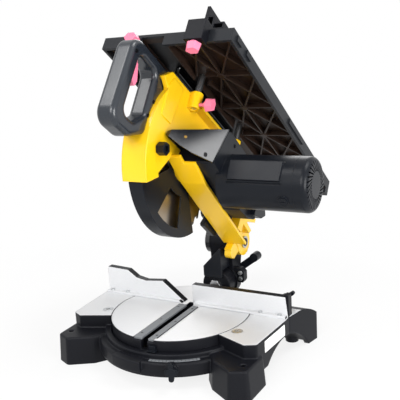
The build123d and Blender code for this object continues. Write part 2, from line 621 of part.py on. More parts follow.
with BuildPart() as head:
    slab(side(WALL_IN_X), RIGHT_WALL, WALL_OUT_X - WALL_IN_X)
    slab(side(LEFT_WALL_OUT_X), LEFT_WALL, LEFT_WALL_IN_X - LEFT_WALL_OUT_X)
    # Round the walls' front edges off to the rim's circle, then close them with the rim and the front cowl
    for x, thick in ((WALL_IN_X, WALL_OUT_X - WALL_IN_X),
                     (LEFT_WALL_OUT_X, LEFT_WALL_IN_X - LEFT_WALL_OUT_X)):
        sector(side(x), ARBOR, 105, RIM_OUT_R, RIM_FROM_DEG, RIM_TO_DEG, thick)
    sector(side(LEFT_WALL_OUT_X), ARBOR, RIM_IN_R, RIM_OUT_R, RIM_FROM_DEG, RIM_TO_DEG,
           WALL_OUT_X - LEFT_WALL_OUT_X)
    slab(side(LEFT_WALL_OUT_X), COWL, WALL_OUT_X - LEFT_WALL_OUT_X)
    slab(side(WALL_OUT_X), WALL_PAD, 2.5, corner=4)
    # Narrow upper flange, and the wide lower flange that is stepped at its front
    block(level(TOP_FLANGE_Z - FLANGE_THICK), (WALL_IN_X, FLANGE_FRONT_X), (-98, 78), FLANGE_THICK)
    slab(side(WALL_IN_X), FLANGE_LINE + FLANGE_TOP, FLANGE_OUT_X - WALL_IN_X)
    block(level(180), (FLANGE_FRONT_X, FLANGE_OUT_X + 1), (-130, FLANGE_STEP_Y), 40, mode=Mode.SUBTRACT)
    # Cross web behind the blade, then the pivot ears: the left one high, to pass the fence when tilted
    block(side(LEFT_WALL_OUT_X), (104, 114), (206, 250), WALL_OUT_X - LEFT_WALL_OUT_X)
    block(side(LEFT_EAR_X), (98, 112), (212, 246), LEFT_WALL_IN_X - LEFT_EAR_X)
    slab(side(LEFT_EAR_X), LEFT_EAR, -EAR_IN_X - LEFT_EAR_X, corner=4)
    slab(side(EAR_IN_X), EAR, RIGHT_EAR_X - EAR_IN_X, corner=4)
    slab(side(WALL_IN_X), EAR_SHELF, EAR_SHELF_X - WALL_IN_X)
    slab(side(RIGHT_EAR_X - 1), EAR_RIB, EAR_SHELF_X - RIGHT_EAR_X - 6)
    bar(side(EAR_IN_X), HEAD_PIVOT, EAR_R, RIGHT_EAR_X - EAR_IN_X)
    bar(side(LEFT_EAR_X), HEAD_PIVOT, EAR_R, -EAR_IN_X - LEFT_EAR_X)
    for points in EAR_POCKETS:
        slab(side(RIGHT_EAR_X - POCKET_DEEP), points, POCKET_DEEP, corner=2, mode=Mode.SUBTRACT)
    # Stop lobe under the right ear
    bar(side(EAR_IN_X), STOP_LOBE_AT, 10, LOBE_THICK)
    slab(side(EAR_IN_X), STOP_WEB, LOBE_THICK)
    # Sleeves for the upper table's posts
    for x, y in POST_AT:
        bar(level(SLEEVE_Z[0]), (x, y), SLEEVE_R, SLEEVE_Z[1] - SLEEVE_Z[0])
        inner_x = WALL_OUT_X - 2 if x > 0 else LEFT_WALL_OUT_X + 2
        block(level(SLEEVE_Z[0]), (min(x, inner_x), max(x, inner_x)),
              (y - SLEEVE_WEB_HALF, y + SLEEVE_WEB_HALF), SLEEVE_Z[1] - SLEEVE_Z[0])
    # Boss of the lower guard and seat of the arbor bearing
    bar(side(10.5), ARBOR, GUARD_HUB_R, WALL_IN_X - 10.5)
    bar(side(10), ARBOR, 33, 6, mode=Mode.SUBTRACT)
    bar(side(15), ARBOR, 16, 20, mode=Mode.SUBTRACT)
    for at in POST_AT:
        bar(level(SLEEVE_Z[0] - 1), at, POST_R + FIT, 60, mode=Mode.SUBTRACT)
    bar(side(-60), HEAD_PIVOT, AXLE_R + FIT, 120, mode=Mode.SUBTRACT)
    bar(side(38), (POST_AT[0][1], KNOB_Z), STUD_HOLE_R, 20, mode=Mode.SUBTRACT)
    bar(side(EAR_IN_X - 1), LOCK_PIN_AT, LOCK_PIN_R + FIT, 40, mode=Mode.SUBTRACT)
    bar(side(WALL_IN_X - 1), GUARD_KNOB_AT, STUD_HOLE_R, 20, mode=Mode.SUBTRACT)
finish(head, "head_casting")

with BuildPart() as pivot_axle:
    bar(side(LEFT_EAR_X - 4), HEAD_PIVOT, AXLE_R, RIGHT_EAR_X - LEFT_EAR_X + 8)
finish(pivot_axle, "pivot_axle")

with BuildPart() as axle_washers:
    for x in (RIGHT_EAR_X + 0.2, LEFT_EAR_X - 3.2):
        tube(side(x), HEAD_PIVOT, 12, AXLE_R + FIT, 3)
finish(axle_washers, "axle_washers")

with BuildPart() as head_lock_pin:
    bar(side(EAR_IN_X + 1), LOCK_PIN_AT, LOCK_PIN_R, 27)
    bar(side(RIGHT_EAR_X + 4), LOCK_PIN_AT, 5.5, 9)
finish(head_lock_pin, "head_lock_pin")

with BuildPart() as arbor_bearing:
    tube(side(16.5), ARBOR, 16 - 0.02, ARBOR_R + FIT, 9.5)
finish(arbor_bearing, "arbor_bearing")

# Gear case over the arm's flange
CASE = [(-109.5, 198.6), (-87, 264), (-80, 268), (40, 260), (62, 240), (62, 164),
        (ARBOR_Y, FLANGE_LINE[1][1] + 5.6)]
CASE_ROOM = [(-103, 200.5), (-83, 259), (-77, 263), (38, 255), (57, 237), (57, 170), (ARBOR_Y, 188)]
SPINDLE_PIN_AT = (44, ARBOR_Y)
with BuildPart() as gear_case:
    slab(side(CASE_FROM_X), CASE, CASE_TO_X - CASE_FROM_X)
    slab(side(30), CASE_ROOM, 31, mode=Mode.SUBTRACT)
    bar(side(20), ARBOR, ARBOR_R + 1, 20, mode=Mode.SUBTRACT)
    # Rear bearing bridge of the arbor and the front bearing of the rotor
    tube(side(51), ARBOR, 17, 13, 10)
    block(side(51), (ARBOR_Y - 14, ARBOR_Y + 14), (ARBOR_Z + 15, 263), 10)
    tube(side(60), MOTOR, 18, 11, 6)
    bar(side(60), MOTOR, 11, 10, mode=Mode.SUBTRACT)
    bar(level(252), SPINDLE_PIN_AT, 4.1, 30, mode=Mode.SUBTRACT)
finish(gear_case, "gear_case")

with BuildPart() as rear_arbor_bearing:
    tube(side(52), ARBOR, 13 - 0.02, ARBOR_END_R + FIT, 8)
finish(rear_arbor_bearing, "rear_arbor_bearing")

with BuildPart() as rotor_bearing:
    tube(side(60), MOTOR, 11 - 0.02, ROTOR_R + FIT, 5)
finish(rotor_bearing, "rotor_bearing")

with BuildPart() as spindle_lock_button:
    bar(level(256), SPINDLE_PIN_AT, 4, 20)
    bar(level(275), SPINDLE_PIN_AT, 7, 5)
finish(spindle_lock_button, "spindle_lock_button")

# Motor: box-shaped foot on the gear case and a round body with side pads and a slotted cap
BOX = [(-111, 196), (-87, 264), (-80, 268), (40, 260), (70, 238), (100, 196), (84, 174), (60, 166),
       (20, 166), (-34, 182)]
BOX_ROOM = [(-102, 199), (-82, 258), (-76, 262), (38, 254), (66, 234), (92, 197), (80, 179), (58, 171),
            (22, 171), (-32, 187)]
BOX_FOOT = [(60, 174), (92, 180), (108, 192), (100, 202), (60, 192)]
PAD_HALF = 17
PAD_X = (112, 204)
with BuildPart() as motor_housing:
    slab(side(CASE_TO_X + 0.2), BOX, BOX_TO_X - CASE_TO_X - 0.2, corner=3)
    slab(side(BOX_TO_X - 6), BOX_FOOT, 16, corner=2)
    bar(side(BODY_FROM_X), MOTOR, MOTOR_R, BODY_TO_X - BODY_FROM_X)
    # Raised side pads with long grooves beside them, front and rear
    block(side(PAD_X[0]), (MOTOR[0] - MOTOR_R - 2, MOTOR[0] + MOTOR_R + 2),
          (MOTOR[1] - PAD_HALF, MOTOR[1] + PAD_HALF), PAD_X[1] - PAD_X[0])
    for z in (-PAD_HALF - 3, PAD_HALF + 3):
        for edge in (-1, 1):
            groove_y = MOTOR[0] + edge * (MOTOR_R + 2)
            block(side(PAD_X[0] - 2), (groove_y - 8, groove_y + 8), (MOTOR[1] + z - 1.5, MOTOR[1] + z + 1.5),
                  PAD_X[1] - PAD_X[0] + 4, mode=Mode.SUBTRACT)
    bar(side(BOX_TO_X - 2), MOTOR, MOTOR_R - MOTOR_WALL, BODY_TO_X, mode=Mode.SUBTRACT)
    slab(side(CASE_TO_X + 5), BOX_ROOM, BOX_TO_X - CASE_TO_X - 10, mode=Mode.SUBTRACT)
    bar(side(CASE_TO_X - 1), MOTOR, 12, 40, mode=Mode.SUBTRACT)
    for turn in BRUSH_DEG:
        bar(brush_plane(turn).offset(2), (0, 0), 9, 8)
        bar(brush_plane(turn), (0, 0), 5.2, 14, mode=Mode.SUBTRACT)
finish(motor_housing, "motor_housing")

with BuildPart() as brush_caps:
    for turn in BRUSH_DEG:
        bar(brush_plane(turn), (0, 0), 5, 10.3)
        bar(brush_plane(turn).offset(10.1), (0, 0), 7, 1.5)
        with BuildSketch(brush_plane(turn).offset(11.6)):
            Rectangle(9, 1.6)
        extrude(amount=-1.2, mode=Mode.SUBTRACT)
finish(brush_caps, "brush_caps")

CAP_SLOTS = 30
CAP_SLOT_R = 31
CAP_SLANT = 28
with BuildPart() as motor_cap:
    bar(side(BODY_TO_X + 0.2), MOTOR, MOTOR_R, CAP_TO_X - BODY_TO_X)
    fillet(motor_cap.edges().filter_by(GeomType.CIRCLE).sort_by(Axis.X)[-1], radius=11)
    bar(side(BODY_TO_X), MOTOR, MOTOR_R - 5, 17, mode=Mode.SUBTRACT)
    # Ring of slanted air slots over the cap's face and shoulder
    with BuildSketch(side(BODY_TO_X + 7)):
        with Locations(MOTOR):
            with PolarLocations(CAP_SLOT_R, CAP_SLOTS):
                Rectangle(21, 2.4, rotation=CAP_SLANT)
    extrude(amount=30, mode=Mode.SUBTRACT)
finish(motor_cap, "motor_cap")

STATOR_X = (113, 189)
with BuildPart() as stator:
    tube(side(STATOR_X[0]), MOTOR, MOTOR_R - MOTOR_WALL - 0.1, 27, STATOR_X[1] - STATOR_X[0])
finish(stator, "stator")

PINION_PHASE = radians(MOTOR_DEG) + pi + pi / PINION_TEETH
with BuildPart() as rotor:
    root = GEAR_MODULE * (PINION_TEETH / 2 - 1.25)
    tip = GEAR_MODULE * (PINION_TEETH / 2 + 0.9)
    wheel(side(36), MOTOR, toothed(PINION_TEETH, root, tip, 0.56, 0.16, phase=PINION_PHASE), 12)
    bar(side(48), MOTOR, ROTOR_R, 188)
    bar(side(STATOR_X[0]), MOTOR, 25.5, STATOR_X[1] - STATOR_X[0])
    bar(side(197), MOTOR, 15, 20)
finish(rotor, "rotor")

FAN_X = 101
FAN_HUB_R = 12
with BuildPart() as cooling_fan:
    tube(side(FAN_X), MOTOR, FAN_HUB_R, ROTOR_R + FIT, 10)
    tube(side(FAN_X + 1), MOTOR, 38, FAN_HUB_R - 1, 2)
    with BuildSketch(side(FAN_X + 2.5)):
        with Locations(MOTOR):
            with PolarLocations(24, 12):
                Rectangle(26, 2)
    extrude(amount=7.5)
finish(cooling_fan, "cooling_fan")

# Front shield of the drive: a hollow wedge from the nose at the wall to the motor's box, leant like the box
LEAN = Vector(*(head_point(0, *LEAN_TO) - head_point(0, *LEAN_FROM)))
LEAN_PLANE = Plane(origin=head_point(0, *LEAN_FROM), x_dir=(1, 0, 0), z_dir=LEAN)
SHIELD = [(WALL_OUT_X + 0.4, -0.6), (WALL_OUT_X + 0.4, -48), (30, -55), (36, -55), (BOX_TO_X, -3.5),
          (BOX_TO_X, -0.6)]
SHIELD_ROOM = [(WALL_OUT_X + 3.4, 1), (WALL_OUT_X + 3.4, -46), (33, -51), (BOX_TO_X - 4, -3),
               (BOX_TO_X - 4, 1)]
SHIELD_TOP = [(20, 222), (34, 229), (100, 268), (110, 268), (110, 320), (20, 320)]
SHIELD_LOW = [(20, 221), (32, 219), (40, 214), (56, 205), (72, 199), (100, 194), (110, 194), (110, 150),
              (20, 150)]
SHIELD_SHEET = 3
with BuildPart() as shield_room:
    slab(LEAN_PLANE.offset(-30), SHIELD_ROOM, 140)
    slab(front(-60), [(x, z - SHIELD_SHEET) for x, z in SHIELD_TOP], 140, mode=Mode.SUBTRACT)
with BuildPart() as motor_shield:
    slab(LEAN_PLANE.offset(-30), SHIELD, 140)
    slab(front(-60), SHIELD_TOP, 140, mode=Mode.SUBTRACT)
    slab(front(-60), SHIELD_LOW, 140, mode=Mode.SUBTRACT)
    add(shield_room.part, mode=Mode.SUBTRACT)
finish(motor_shield, "motor_shield")

# Blade and what turns with it
with BuildPart() as saw_blade:
    blade_line = toothed(BLADE_TEETH, BLADE_R - TOOTH_DEPTH, BLADE_R, 0.7, 0.18, lean=-0.2)
    wheel(side(-BLADE_HALF), ARBOR, blade_line, 2 * BLADE_HALF)
    bar(side(-5), ARBOR, BLADE_BORE_R + FIT, 10, mode=Mode.SUBTRACT)
finish(saw_blade, "saw_blade")

with BuildPart() as inner_flange:
    bar(side(BLADE_HALF), ARBOR, FLANGE_DISC_R, 7)
    bar(side(-BLADE_HALF), ARBOR, BLADE_BORE_R, 2 * BLADE_HALF)
    bar(side(-10), ARBOR, ARBOR_R + FIT, 30, mode=Mode.SUBTRACT)
finish(inner_flange, "inner_flange")

OUTER_FLANGE_THICK = 6
with BuildPart() as outer_flange:
    tube(side(-BLADE_HALF - OUTER_FLANGE_THICK), ARBOR, FLANGE_DISC_R, ARBOR_BOLT_R + FIT, OUTER_FLANGE_THICK)
finish(outer_flange, "outer_flange")

with BuildPart() as arbor_shaft:
    bar(side(-BLADE_HALF), ARBOR, ARBOR_R, 52)
    bar(side(51 - BLADE_HALF), ARBOR, ARBOR_END_R, 11)
    bar(side(-10), ARBOR, ARBOR_BOLT_R + FIT, 31, mode=Mode.SUBTRACT)
finish(arbor_shaft, "arbor_shaft")

with BuildPart() as arbor_bolt:
    hexagon(side(-BLADE_HALF - OUTER_FLANGE_THICK - 8), ARBOR, 17, 8)
    bar(side(-BLADE_HALF - OUTER_FLANGE_THICK), ARBOR, ARBOR_BOLT_R, 24)
finish(arbor_bolt, "arbor_bolt")

with BuildPart() as drive_gear:
    root = GEAR_MODULE * (GEAR_TEETH / 2 - 1.25)
    tip = GEAR_MODULE * (GEAR_TEETH / 2 + 0.9)
    wheel(side(37), ARBOR, toothed(GEAR_TEETH, root, tip, 0.5, 0.2, phase=radians(MOTOR_DEG)), 10)
    bar(side(30), ARBOR, ARBOR_R + FIT, 30, mode=Mode.SUBTRACT)
finish(drive_gear, "drive_gear")

# Lower guard: rim and two side sheets, turning on the boss round the arbor, with a sight window on the right
GUARD_WINDOW = (62, 118, 252, 288)
with BuildPart() as lower_guard:
    guard_right = side(GUARD_HALF - GUARD_SHEET)
    sector(side(-GUARD_HALF), ARBOR, GUARD_R - GUARD_RIM, GUARD_R, GUARD_FROM_DEG, GUARD_TO_DEG,
           2 * GUARD_HALF)
    sector(side(-GUARD_HALF), ARBOR, GUARD_LEFT_R, GUARD_R, GUARD_FROM_DEG, GUARD_TO_DEG, GUARD_SHEET)
    sector(guard_right, ARBOR, GUARD_HUB_R + GAP, GUARD_R, GUARD_FROM_DEG, GUARD_TO_DEG, GUARD_SHEET)
    tube(guard_right, ARBOR, GUARD_HUB_R + 9, GUARD_HUB_R + GAP, GUARD_SHEET)
    sector(side(0), ARBOR, *GUARD_WINDOW, 30, mode=Mode.SUBTRACT)
finish(lower_guard, "lower_guard")

KNIFE_FOOT = [(72, 214), (118, 214), (118, 252), (86, 262), (72, 240)]
with BuildPart() as riving_knife:
    sector(side(-1), ARBOR, BLADE_R + 4, BLADE_R + 20, 2, 60, 2)
    slab(side(-1), KNIFE_FOOT, 2)
    bar(side(-5), ARBOR, BLADE_R + 4, 10, mode=Mode.SUBTRACT)
    block(side(-6), (103.8, 114.2), (205, 250.2), 12, mode=Mode.SUBTRACT)
finish(riving_knife, "riving_knife")

# Handle: a closed loop in two halves, split on the blade's plane
HANDLE_OUT = [(-150, 325), (-287, 325), (-286, 177), (-232, 177), (-188, 206), (-150, 206)]
HANDLE_IN = [(-212, 302), (-262, 304), (-260, 203), (-232, 203), (-210, 228)]
COWL_SEAT = [(-203.5, 303.1), (-186, 320.6), (-186, 330), (-140, 330), (-140, 280), (-184.3, 289.6)]
SWITCH_POCKET_Y = (-276, -248)
SWITCH_POCKET_Z = (253, 303)
with BuildPart() as handle_loop:
    slab(side(-HANDLE_HALF), HANDLE_OUT, 2 * HANDLE_HALF, corner=24)
    slab(side(-40), HANDLE_IN, 80, corner=12, mode=Mode.SUBTRACT)
    fillet(handle_loop.faces().filter_by(Axis.X).edges(), radius=8)
    bar(side(-40), ARBOR, RIM_OUT_R + 0.1, 80, mode=Mode.SUBTRACT)
    slab(side(-40), COWL_SEAT, 80, mode=Mode.SUBTRACT)
    block(side(-7), SWITCH_POCKET_Y, SWITCH_POCKET_Z, 14, mode=Mode.SUBTRACT)
with BuildPart() as handle_left:
    add(handle_loop.part)
    split(bisect_by=Plane.YZ, keep=Keep.BOTTOM)
finish(handle_left, "handle_left")
with BuildPart() as handle_right:
    add(handle_loop.part)
    split(bisect_by=Plane.YZ, keep=Keep.TOP)
finish(handle_right, "handle_right")

TRIGGER = [(-264, 295), (-250, 295), (-240, 270), (-243, 258), (-252, 264), (-264, 272)]
TRIGGER_HALF = 6
with BuildPart() as trigger:
    slab(side(-TRIGGER_HALF), TRIGGER, 2 * TRIGGER_HALF, corner=2)
    bar(side(-TRIGGER_HALF), TRIGGER_PIVOT, 5, 2 * TRIGGER_HALF)
finish(trigger, "trigger")

with BuildPart() as switch_body:
    block(side(-6.5), (-275.5, -269.5), (255, 301), 13)
finish(switch_body, "switch_body")

# Line laser on the left wall of the blade housing
LASER_X = (-38, LEFT_WALL_OUT_X - 0.2)
LASER_Y = (-158, -122)
LASER_Z = (172, 198)
LENS_AT = (-29, -146)
with BuildPart() as laser_module:
    block(level(LASER_Z[0]), LASER_X, LASER_Y, LASER_Z[1] - LASER_Z[0])
    bar(level(LASER_Z[0] - 1), LENS_AT, 5.1, 4, mode=Mode.SUBTRACT)
finish(laser_module, "laser_module")

with BuildPart() as laser_lens:
    bar(level(LASER_Z[0] + 0.5), LENS_AT, 5, 2.4)
finish(laser_lens, "laser_lens")

with BuildPart() as guard_knob:
    hexagon(side(WALL_OUT_X + 1), GUARD_KNOB_AT, 19, 14)
    bar(side(WALL_OUT_X + 10), GUARD_KNOB_AT, 5.5, 5.5, mode=Mode.SUBTRACT)
    bar(side(WALL_IN_X + 1), GUARD_KNOB_AT, KNOB_STUD_R, 10)
finish(guard_knob, "guard_knob")

# Upper table: ribbed plate with a deep rim and a walled well, its slot insert and its guide posts
RIB_CELLS = ((TOP_LEFT_X + 2, WELL_X[0][0]), (WELL_X[1][1], RIB_X), (RIB_X, TOP_RIGHT_X - 2))
CELL_ENDS = (TOP_FRONT_Y + 2, *RIB_ROWS, TOP_REAR_Y - 2)
TABLE_LOW_Z = TOP_Z - TOP_RIM
PLATE_LOW_Z = TOP_Z - TOP_PLATE
HANDLE_ROOM = 22
RIM_PADS = ((-214, -196), (-176, -158), (40, 126))
REAR_LUG_Y = (312, TOP_REAR_Y)
with BuildPart() as upper_table:
    block(level(TABLE_LOW_Z), (TOP_LEFT_X, TOP_RIGHT_X), (TOP_FRONT_Y, TOP_REAR_Y), TOP_RIM)
    block(level(TABLE_LOW_Z), (TOP_LEFT_X + RIM_WALL, TOP_RIGHT_X - RIM_WALL),
          (TOP_FRONT_Y + RIM_WALL, TOP_REAR_Y - RIM_WALL), TOP_RIM - TOP_PLATE, mode=Mode.SUBTRACT)
    # Walls of the well over the blade
    for wall in WELL_X:
        block(level(TABLE_LOW_Z), wall, (TOP_FRONT_Y + 1, TOP_REAR_Y - 1), TOP_RIM - 1)
    # Ribs: one long rib, cross ribs, and cells with crossed diagonals
    with BuildSketch(level(PLATE_LOW_Z - RIB_DEEP)):
        with Locations((RIB_X, (TOP_FRONT_Y + TOP_REAR_Y) / 2)):
            Rectangle(RIB_THICK, TOP_REAR_Y - TOP_FRONT_Y - 2)
        for left, right in RIB_CELLS:
            for y in RIB_ROWS:
                with Locations(((left + right) / 2, y)):
                    Rectangle(right - left, RIB_THICK)
            for near, far in zip(CELL_ENDS[:-1], CELL_ENDS[1:]):
                for rise in (far - near, near - far):
                    span = Vector(right - left, rise)
                    turn = span.get_signed_angle(Vector(1, 0), Vector(0, 0, -1))
                    with Locations(Location(((left + right) / 2, (near + far) / 2), turn)):
                        Rectangle(span.length - 4, RIB_THICK)
    extrude(amount=RIB_DEEP)
    # Room for the post sleeves, and for the handle under the front edge
    for x, y in POST_AT:
        block(level(TABLE_LOW_Z - 1), (x - SLEEVE_ROOM, x + SLEEVE_ROOM), (y - SLEEVE_ROOM, y + SLEEVE_ROOM),
              TOP_RIM - TOP_PLATE + 1, mode=Mode.SUBTRACT)
    block(level(TABLE_LOW_Z - 1), (-HANDLE_ROOM, HANDLE_ROOM), (TOP_FRONT_Y - 1, TOP_FRONT_Y + RIM_WALL + 1),
          TOP_RIM - TOP_PLATE + 1, mode=Mode.SUBTRACT)
    # Opening for the slot insert, with a ledge under it
    block(level(TOP_Z - 3.5), INSERT_X, INSERT_Y, 10, mode=Mode.SUBTRACT)
    block(level(TABLE_LOW_Z - 1), (INSERT_X[0] + INSERT_LEDGE, INSERT_X[1] - INSERT_LEDGE),
          (INSERT_Y[0] + INSERT_LEDGE, INSERT_Y[1] - INSERT_LEDGE), 40, mode=Mode.SUBTRACT)
    # Raised pads along the right rim and the lug at its rear end
    for pad in RIM_PADS:
        block(level(TOP_Z - 14), (TOP_RIGHT_X - 1, TOP_RIGHT_X + 3), pad, 10)
    block(level(TABLE_LOW_Z - 12), (TOP_RIGHT_X - 17, TOP_RIGHT_X), REAR_LUG_Y, 13)
finish(upper_table, "upper_table")

LIP_DEEP = 11
LIP_OUT_X = 5
with BuildPart() as table_insert:
    block(level(TOP_Z - 3.5), (INSERT_X[0] + GAP, INSERT_X[1] - GAP),
          (INSERT_Y[0] + GAP, INSERT_Y[1] - GAP), 3.3)
    # Lips under both edges of the slot
    block(level(TOP_Z - 3.5 - LIP_DEEP), (-LIP_OUT_X, LIP_OUT_X), TABLE_SLOT_Y, LIP_DEEP + 1)
    block(level(TOP_Z - 20), (-TABLE_SLOT_HALF, TABLE_SLOT_HALF), TABLE_SLOT_Y, 40, mode=Mode.SUBTRACT)
finish(table_insert, "table_insert")

with BuildPart() as table_posts:
    for at in POST_AT:
        bar(level(POST_END_Z), at, POST_R, PLATE_LOW_Z - POST_END_Z)
finish(table_posts, "table_posts")

KNOB_SIZE = (27, 18, 12)
with BuildPart() as table_front_knob:
    wing_knob(front(TOP_FRONT_Y - 4), (-33, TOP_Z - 13), *KNOB_SIZE, 4)
finish(table_front_knob, "table_front_knob")

with BuildPart() as table_side_knob:
    wing_knob(side(60), (POST_AT[0][1], KNOB_Z), *KNOB_SIZE, 16, turn=90)
finish(table_side_knob, "table_side_knob")

# Rip fence on the upper table: stepped bar with two channels, hooked over the front rim
RIP_PROFILE = [(72, 366.3), (72, 431), (77, 431), (77, 412), (90, 412), (90, 398), (110, 398), (110, 384),
               (98, 384), (98, 366.3)]
RIP_CHANNELS = (((79, 88), (386, 409)), ((92, 108), (387, 395)), ((76, 94), (366, 382)))
BRACKET_X = (72, 104)
BRACKET_Z = (338, 374)
with BuildPart() as rip_fence:
    slab(front(RIP_Y[1]), RIP_PROFILE, RIP_Y[1] - RIP_Y[0])
    for x_range, z_range in RIP_CHANNELS:
        block(front(RIP_Y[1] + 1), x_range, z_range, RIP_Y[1] - RIP_Y[0] + 2, mode=Mode.SUBTRACT)
    block(level(BRACKET_Z[0]), BRACKET_X, BRACKET_Y, BRACKET_Z[1] - BRACKET_Z[0])
    block(level(TOP_Z + GAP), BRACKET_X, (BRACKET_Y[0], -190), BRACKET_Z[1] - TOP_Z - GAP)
    bar(level(BRACKET_Z[0] - 1), RIP_KNOB_AT, STUD_HOLE_R, 20, mode=Mode.SUBTRACT)
finish(rip_fence, "rip_fence")

RIP_KNOB_PLANE = Plane(origin=head_point(*RIP_KNOB_AT, BRACKET_Z[0] - 4), x_dir=(1, 0, 0),
                       z_dir=(0, -LIFT_SIN, -LIFT_COS))
with BuildPart() as rip_fence_knob:
    wing_knob(RIP_KNOB_PLANE, (0, 0), *KNOB_SIZE, 18)
finish(rip_fence_knob, "rip_fence_knob")
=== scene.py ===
"""Looks of a bench mitre saw with an upper saw table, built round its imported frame."""
from math import asin, cos, pi, radians, sin, sqrt

import bmesh
import bpy
from bpy.props import FloatProperty, FloatVectorProperty, IntProperty, PointerProperty
from bpy.types import Operator, Panel, PropertyGroup
from mathutils import Matrix, Vector


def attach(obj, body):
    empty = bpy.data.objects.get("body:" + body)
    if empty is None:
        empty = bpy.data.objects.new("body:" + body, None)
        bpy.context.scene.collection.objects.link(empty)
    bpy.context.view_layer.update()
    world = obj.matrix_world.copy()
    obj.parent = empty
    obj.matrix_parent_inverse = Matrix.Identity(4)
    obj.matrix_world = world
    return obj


bl_info = {
    "name": "Mitre saw looks",
    "version": (1, 0, 0),
    "blender": (4, 5, 0),
    "location": "View3D > Sidebar > Mitre saw",
    "description": "Finishes, small fittings and stage of a bench mitre saw",
    "category": "Object",
}

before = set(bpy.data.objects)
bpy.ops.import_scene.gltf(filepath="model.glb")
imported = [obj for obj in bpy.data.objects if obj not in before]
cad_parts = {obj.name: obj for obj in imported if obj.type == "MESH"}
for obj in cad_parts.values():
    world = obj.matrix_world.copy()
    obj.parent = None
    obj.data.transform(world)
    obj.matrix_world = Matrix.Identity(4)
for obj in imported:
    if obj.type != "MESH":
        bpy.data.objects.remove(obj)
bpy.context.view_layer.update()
MM = 0.001

# The head is drawn with its upper table level and stands raised about the drawing point
HEAD_LIFT = radians(36)
DRAW_POINT = Vector((0, 175, 150)) * MM
HEAD_TURN = Matrix.Rotation(-HEAD_LIFT, 3, "X")
# Places on the CAD in millimetres, the head's as drawn
TABLE_Z = 74
FENCE_Y = 38
FOOT_Z = 78.5
ARBOR = (-62, 220)
BLADE_R = 130
RIB_X = 80
RIB_ROWS = (-123, -18, 87, 192)
RIB_LOW_Z = 351
WELL_ROOM = ((-92, 140), (-223, 325), (300, 362))
EAR_X = -20.5
EAR_FROM_Y = 98
SHIELD_OUT = Vector((0.627, -0.736, 0.255))
SHIELD_ALONG = Vector((0, 0, 1)).cross(SHIELD_OUT)
SCALE_TOP_Z = 46.8
SCALE_DEG = (280, 310)

# Cosine of a softened normal's turn where an edge's paler tone starts, and where it is full; that tone is
# partly rub-through and partly painted highlight
EDGE_STARTS = 0.995
EDGE_FULL = 0.85
# Cosine within which a face counts as looking one way
FACING = 0.98
# Size of slow changes of a coat's colour, and how far its roughness goes with them
DRIFT_MM = 45
GLOSS_DRIFT = 0.06
# Black coat of the milled castings: shares of its colour over the grain, roughness, specular level, and how
# far and how pale its edges are made, partly as rub-through and partly as a painted highlight
COAT_TONES = (0.8, 1.2)
COAT_ROUGH = 0.44
COAT_SHINE = 0.15
COAT_EDGE_WEAR_AND_HIGHLIGHT = 0.4
COAT_EDGE_WEAR_AND_HIGHLIGHT_TONE = 2.6
# Milled faces: length of the cutter's streaks, how many times as long as wide they are, shares of the colour
# and roughness between them, and the share of bare metal, the rest being fine pale oxide
STREAK_MM = 4.0
STREAK = 12
MILLED_TONES = (0.86, 1.04)
MILLED_ROUGH = (0.32, 0.5)
MILLED_METAL = 0.25
# Upper table's paint, as dull as that coat: roughness, and how far and how pale its edges are made, partly as
# rub-through and partly as a painted highlight
TABLE_ROUGH = (0.36, 0.5)
TABLE_EDGE_WEAR_AND_HIGHLIGHT = 0.45
TABLE_EDGE_WEAR_AND_HIGHLIGHT_TONE = 2.2
# Steel: shares of the colour between streaks, how far the roughness goes with them, and the texture scales of
# turned steel across its streaks and along them
STEEL_TONES = (0.75, 1.05)
STEEL_GLOSS_DRIFT = 0.1
TURNED = (4, 1, 1)

# Screw heads: half the recess's width and the chamfer as shares of the radius, and a quarter's steps
RECESS_HALF = 0.16
HEAD_CHAMFER = 0.12
ARC_STEPS = 7

# Studio lamps: name, place and width in metres, power in watts
LIT_POINT = Vector((0.03, 0.05, 0.28))
LAMPS = (
    ("key", (0.2, -2.1, 1.4), 1.1, 28),
    ("fill", (2.1, -0.8, 0.6), 1.0, 34),
    ("top", (1.05, 0.3, 2.15), 0.9, 18),
    ("left", (-0.75, -0.8, 1.9), 0.7, 10),
    ("back", (-0.6, 1.8, 1.2), 1.0, 8),
)
WHITE = (1, 1, 1, 1)
# Strength of the white surround as a light on the saw
WORLD_LIGHT = 0.36

# Camera of the photograph, in millimetres, degrees and pixels of its 400 pixel frame
CAMERA_AT = Vector((573.2, -914.8, 522.8)) * MM
CAMERA_AZIMUTH = 29.6
CAMERA_ELEVATION = 12.8
CAMERA_ROLL = -3.5
FOCAL_PIXELS = 632.3
FRAME_PIXELS = 400
SENSOR_MM = 36


def linear(code):
    """Linear colour of an sRGB hex value."""
    channels = [int(code[i:i + 2], 16) / 255 for i in (1, 3, 5)]
    return [c / 12.92 if c <= 0.04045 else ((c + 0.055) / 1.055) ** 2.4 for c in channels]


def rgba(colour, share=1.0):
    """A colour with full alpha, made darker or lighter by a share."""
    return (*(min(1.0, c * share) for c in colour), 1.0)


def scale_of(size_mm):
    """Texture scale, in turns per metre, of a pattern of a real size."""
    return 1000 / size_mm


def colour_prop(name, code, words):
    """A colour that a user can change."""
    return FloatVectorProperty(name=name, description=words, subtype="COLOR", size=3, min=0, max=1,
                               default=linear(code))


def length_prop(name, size_mm, words):
    """A length that a user can change."""
    return FloatProperty(name=name, description=words, default=size_mm * MM, min=0, unit="LENGTH")


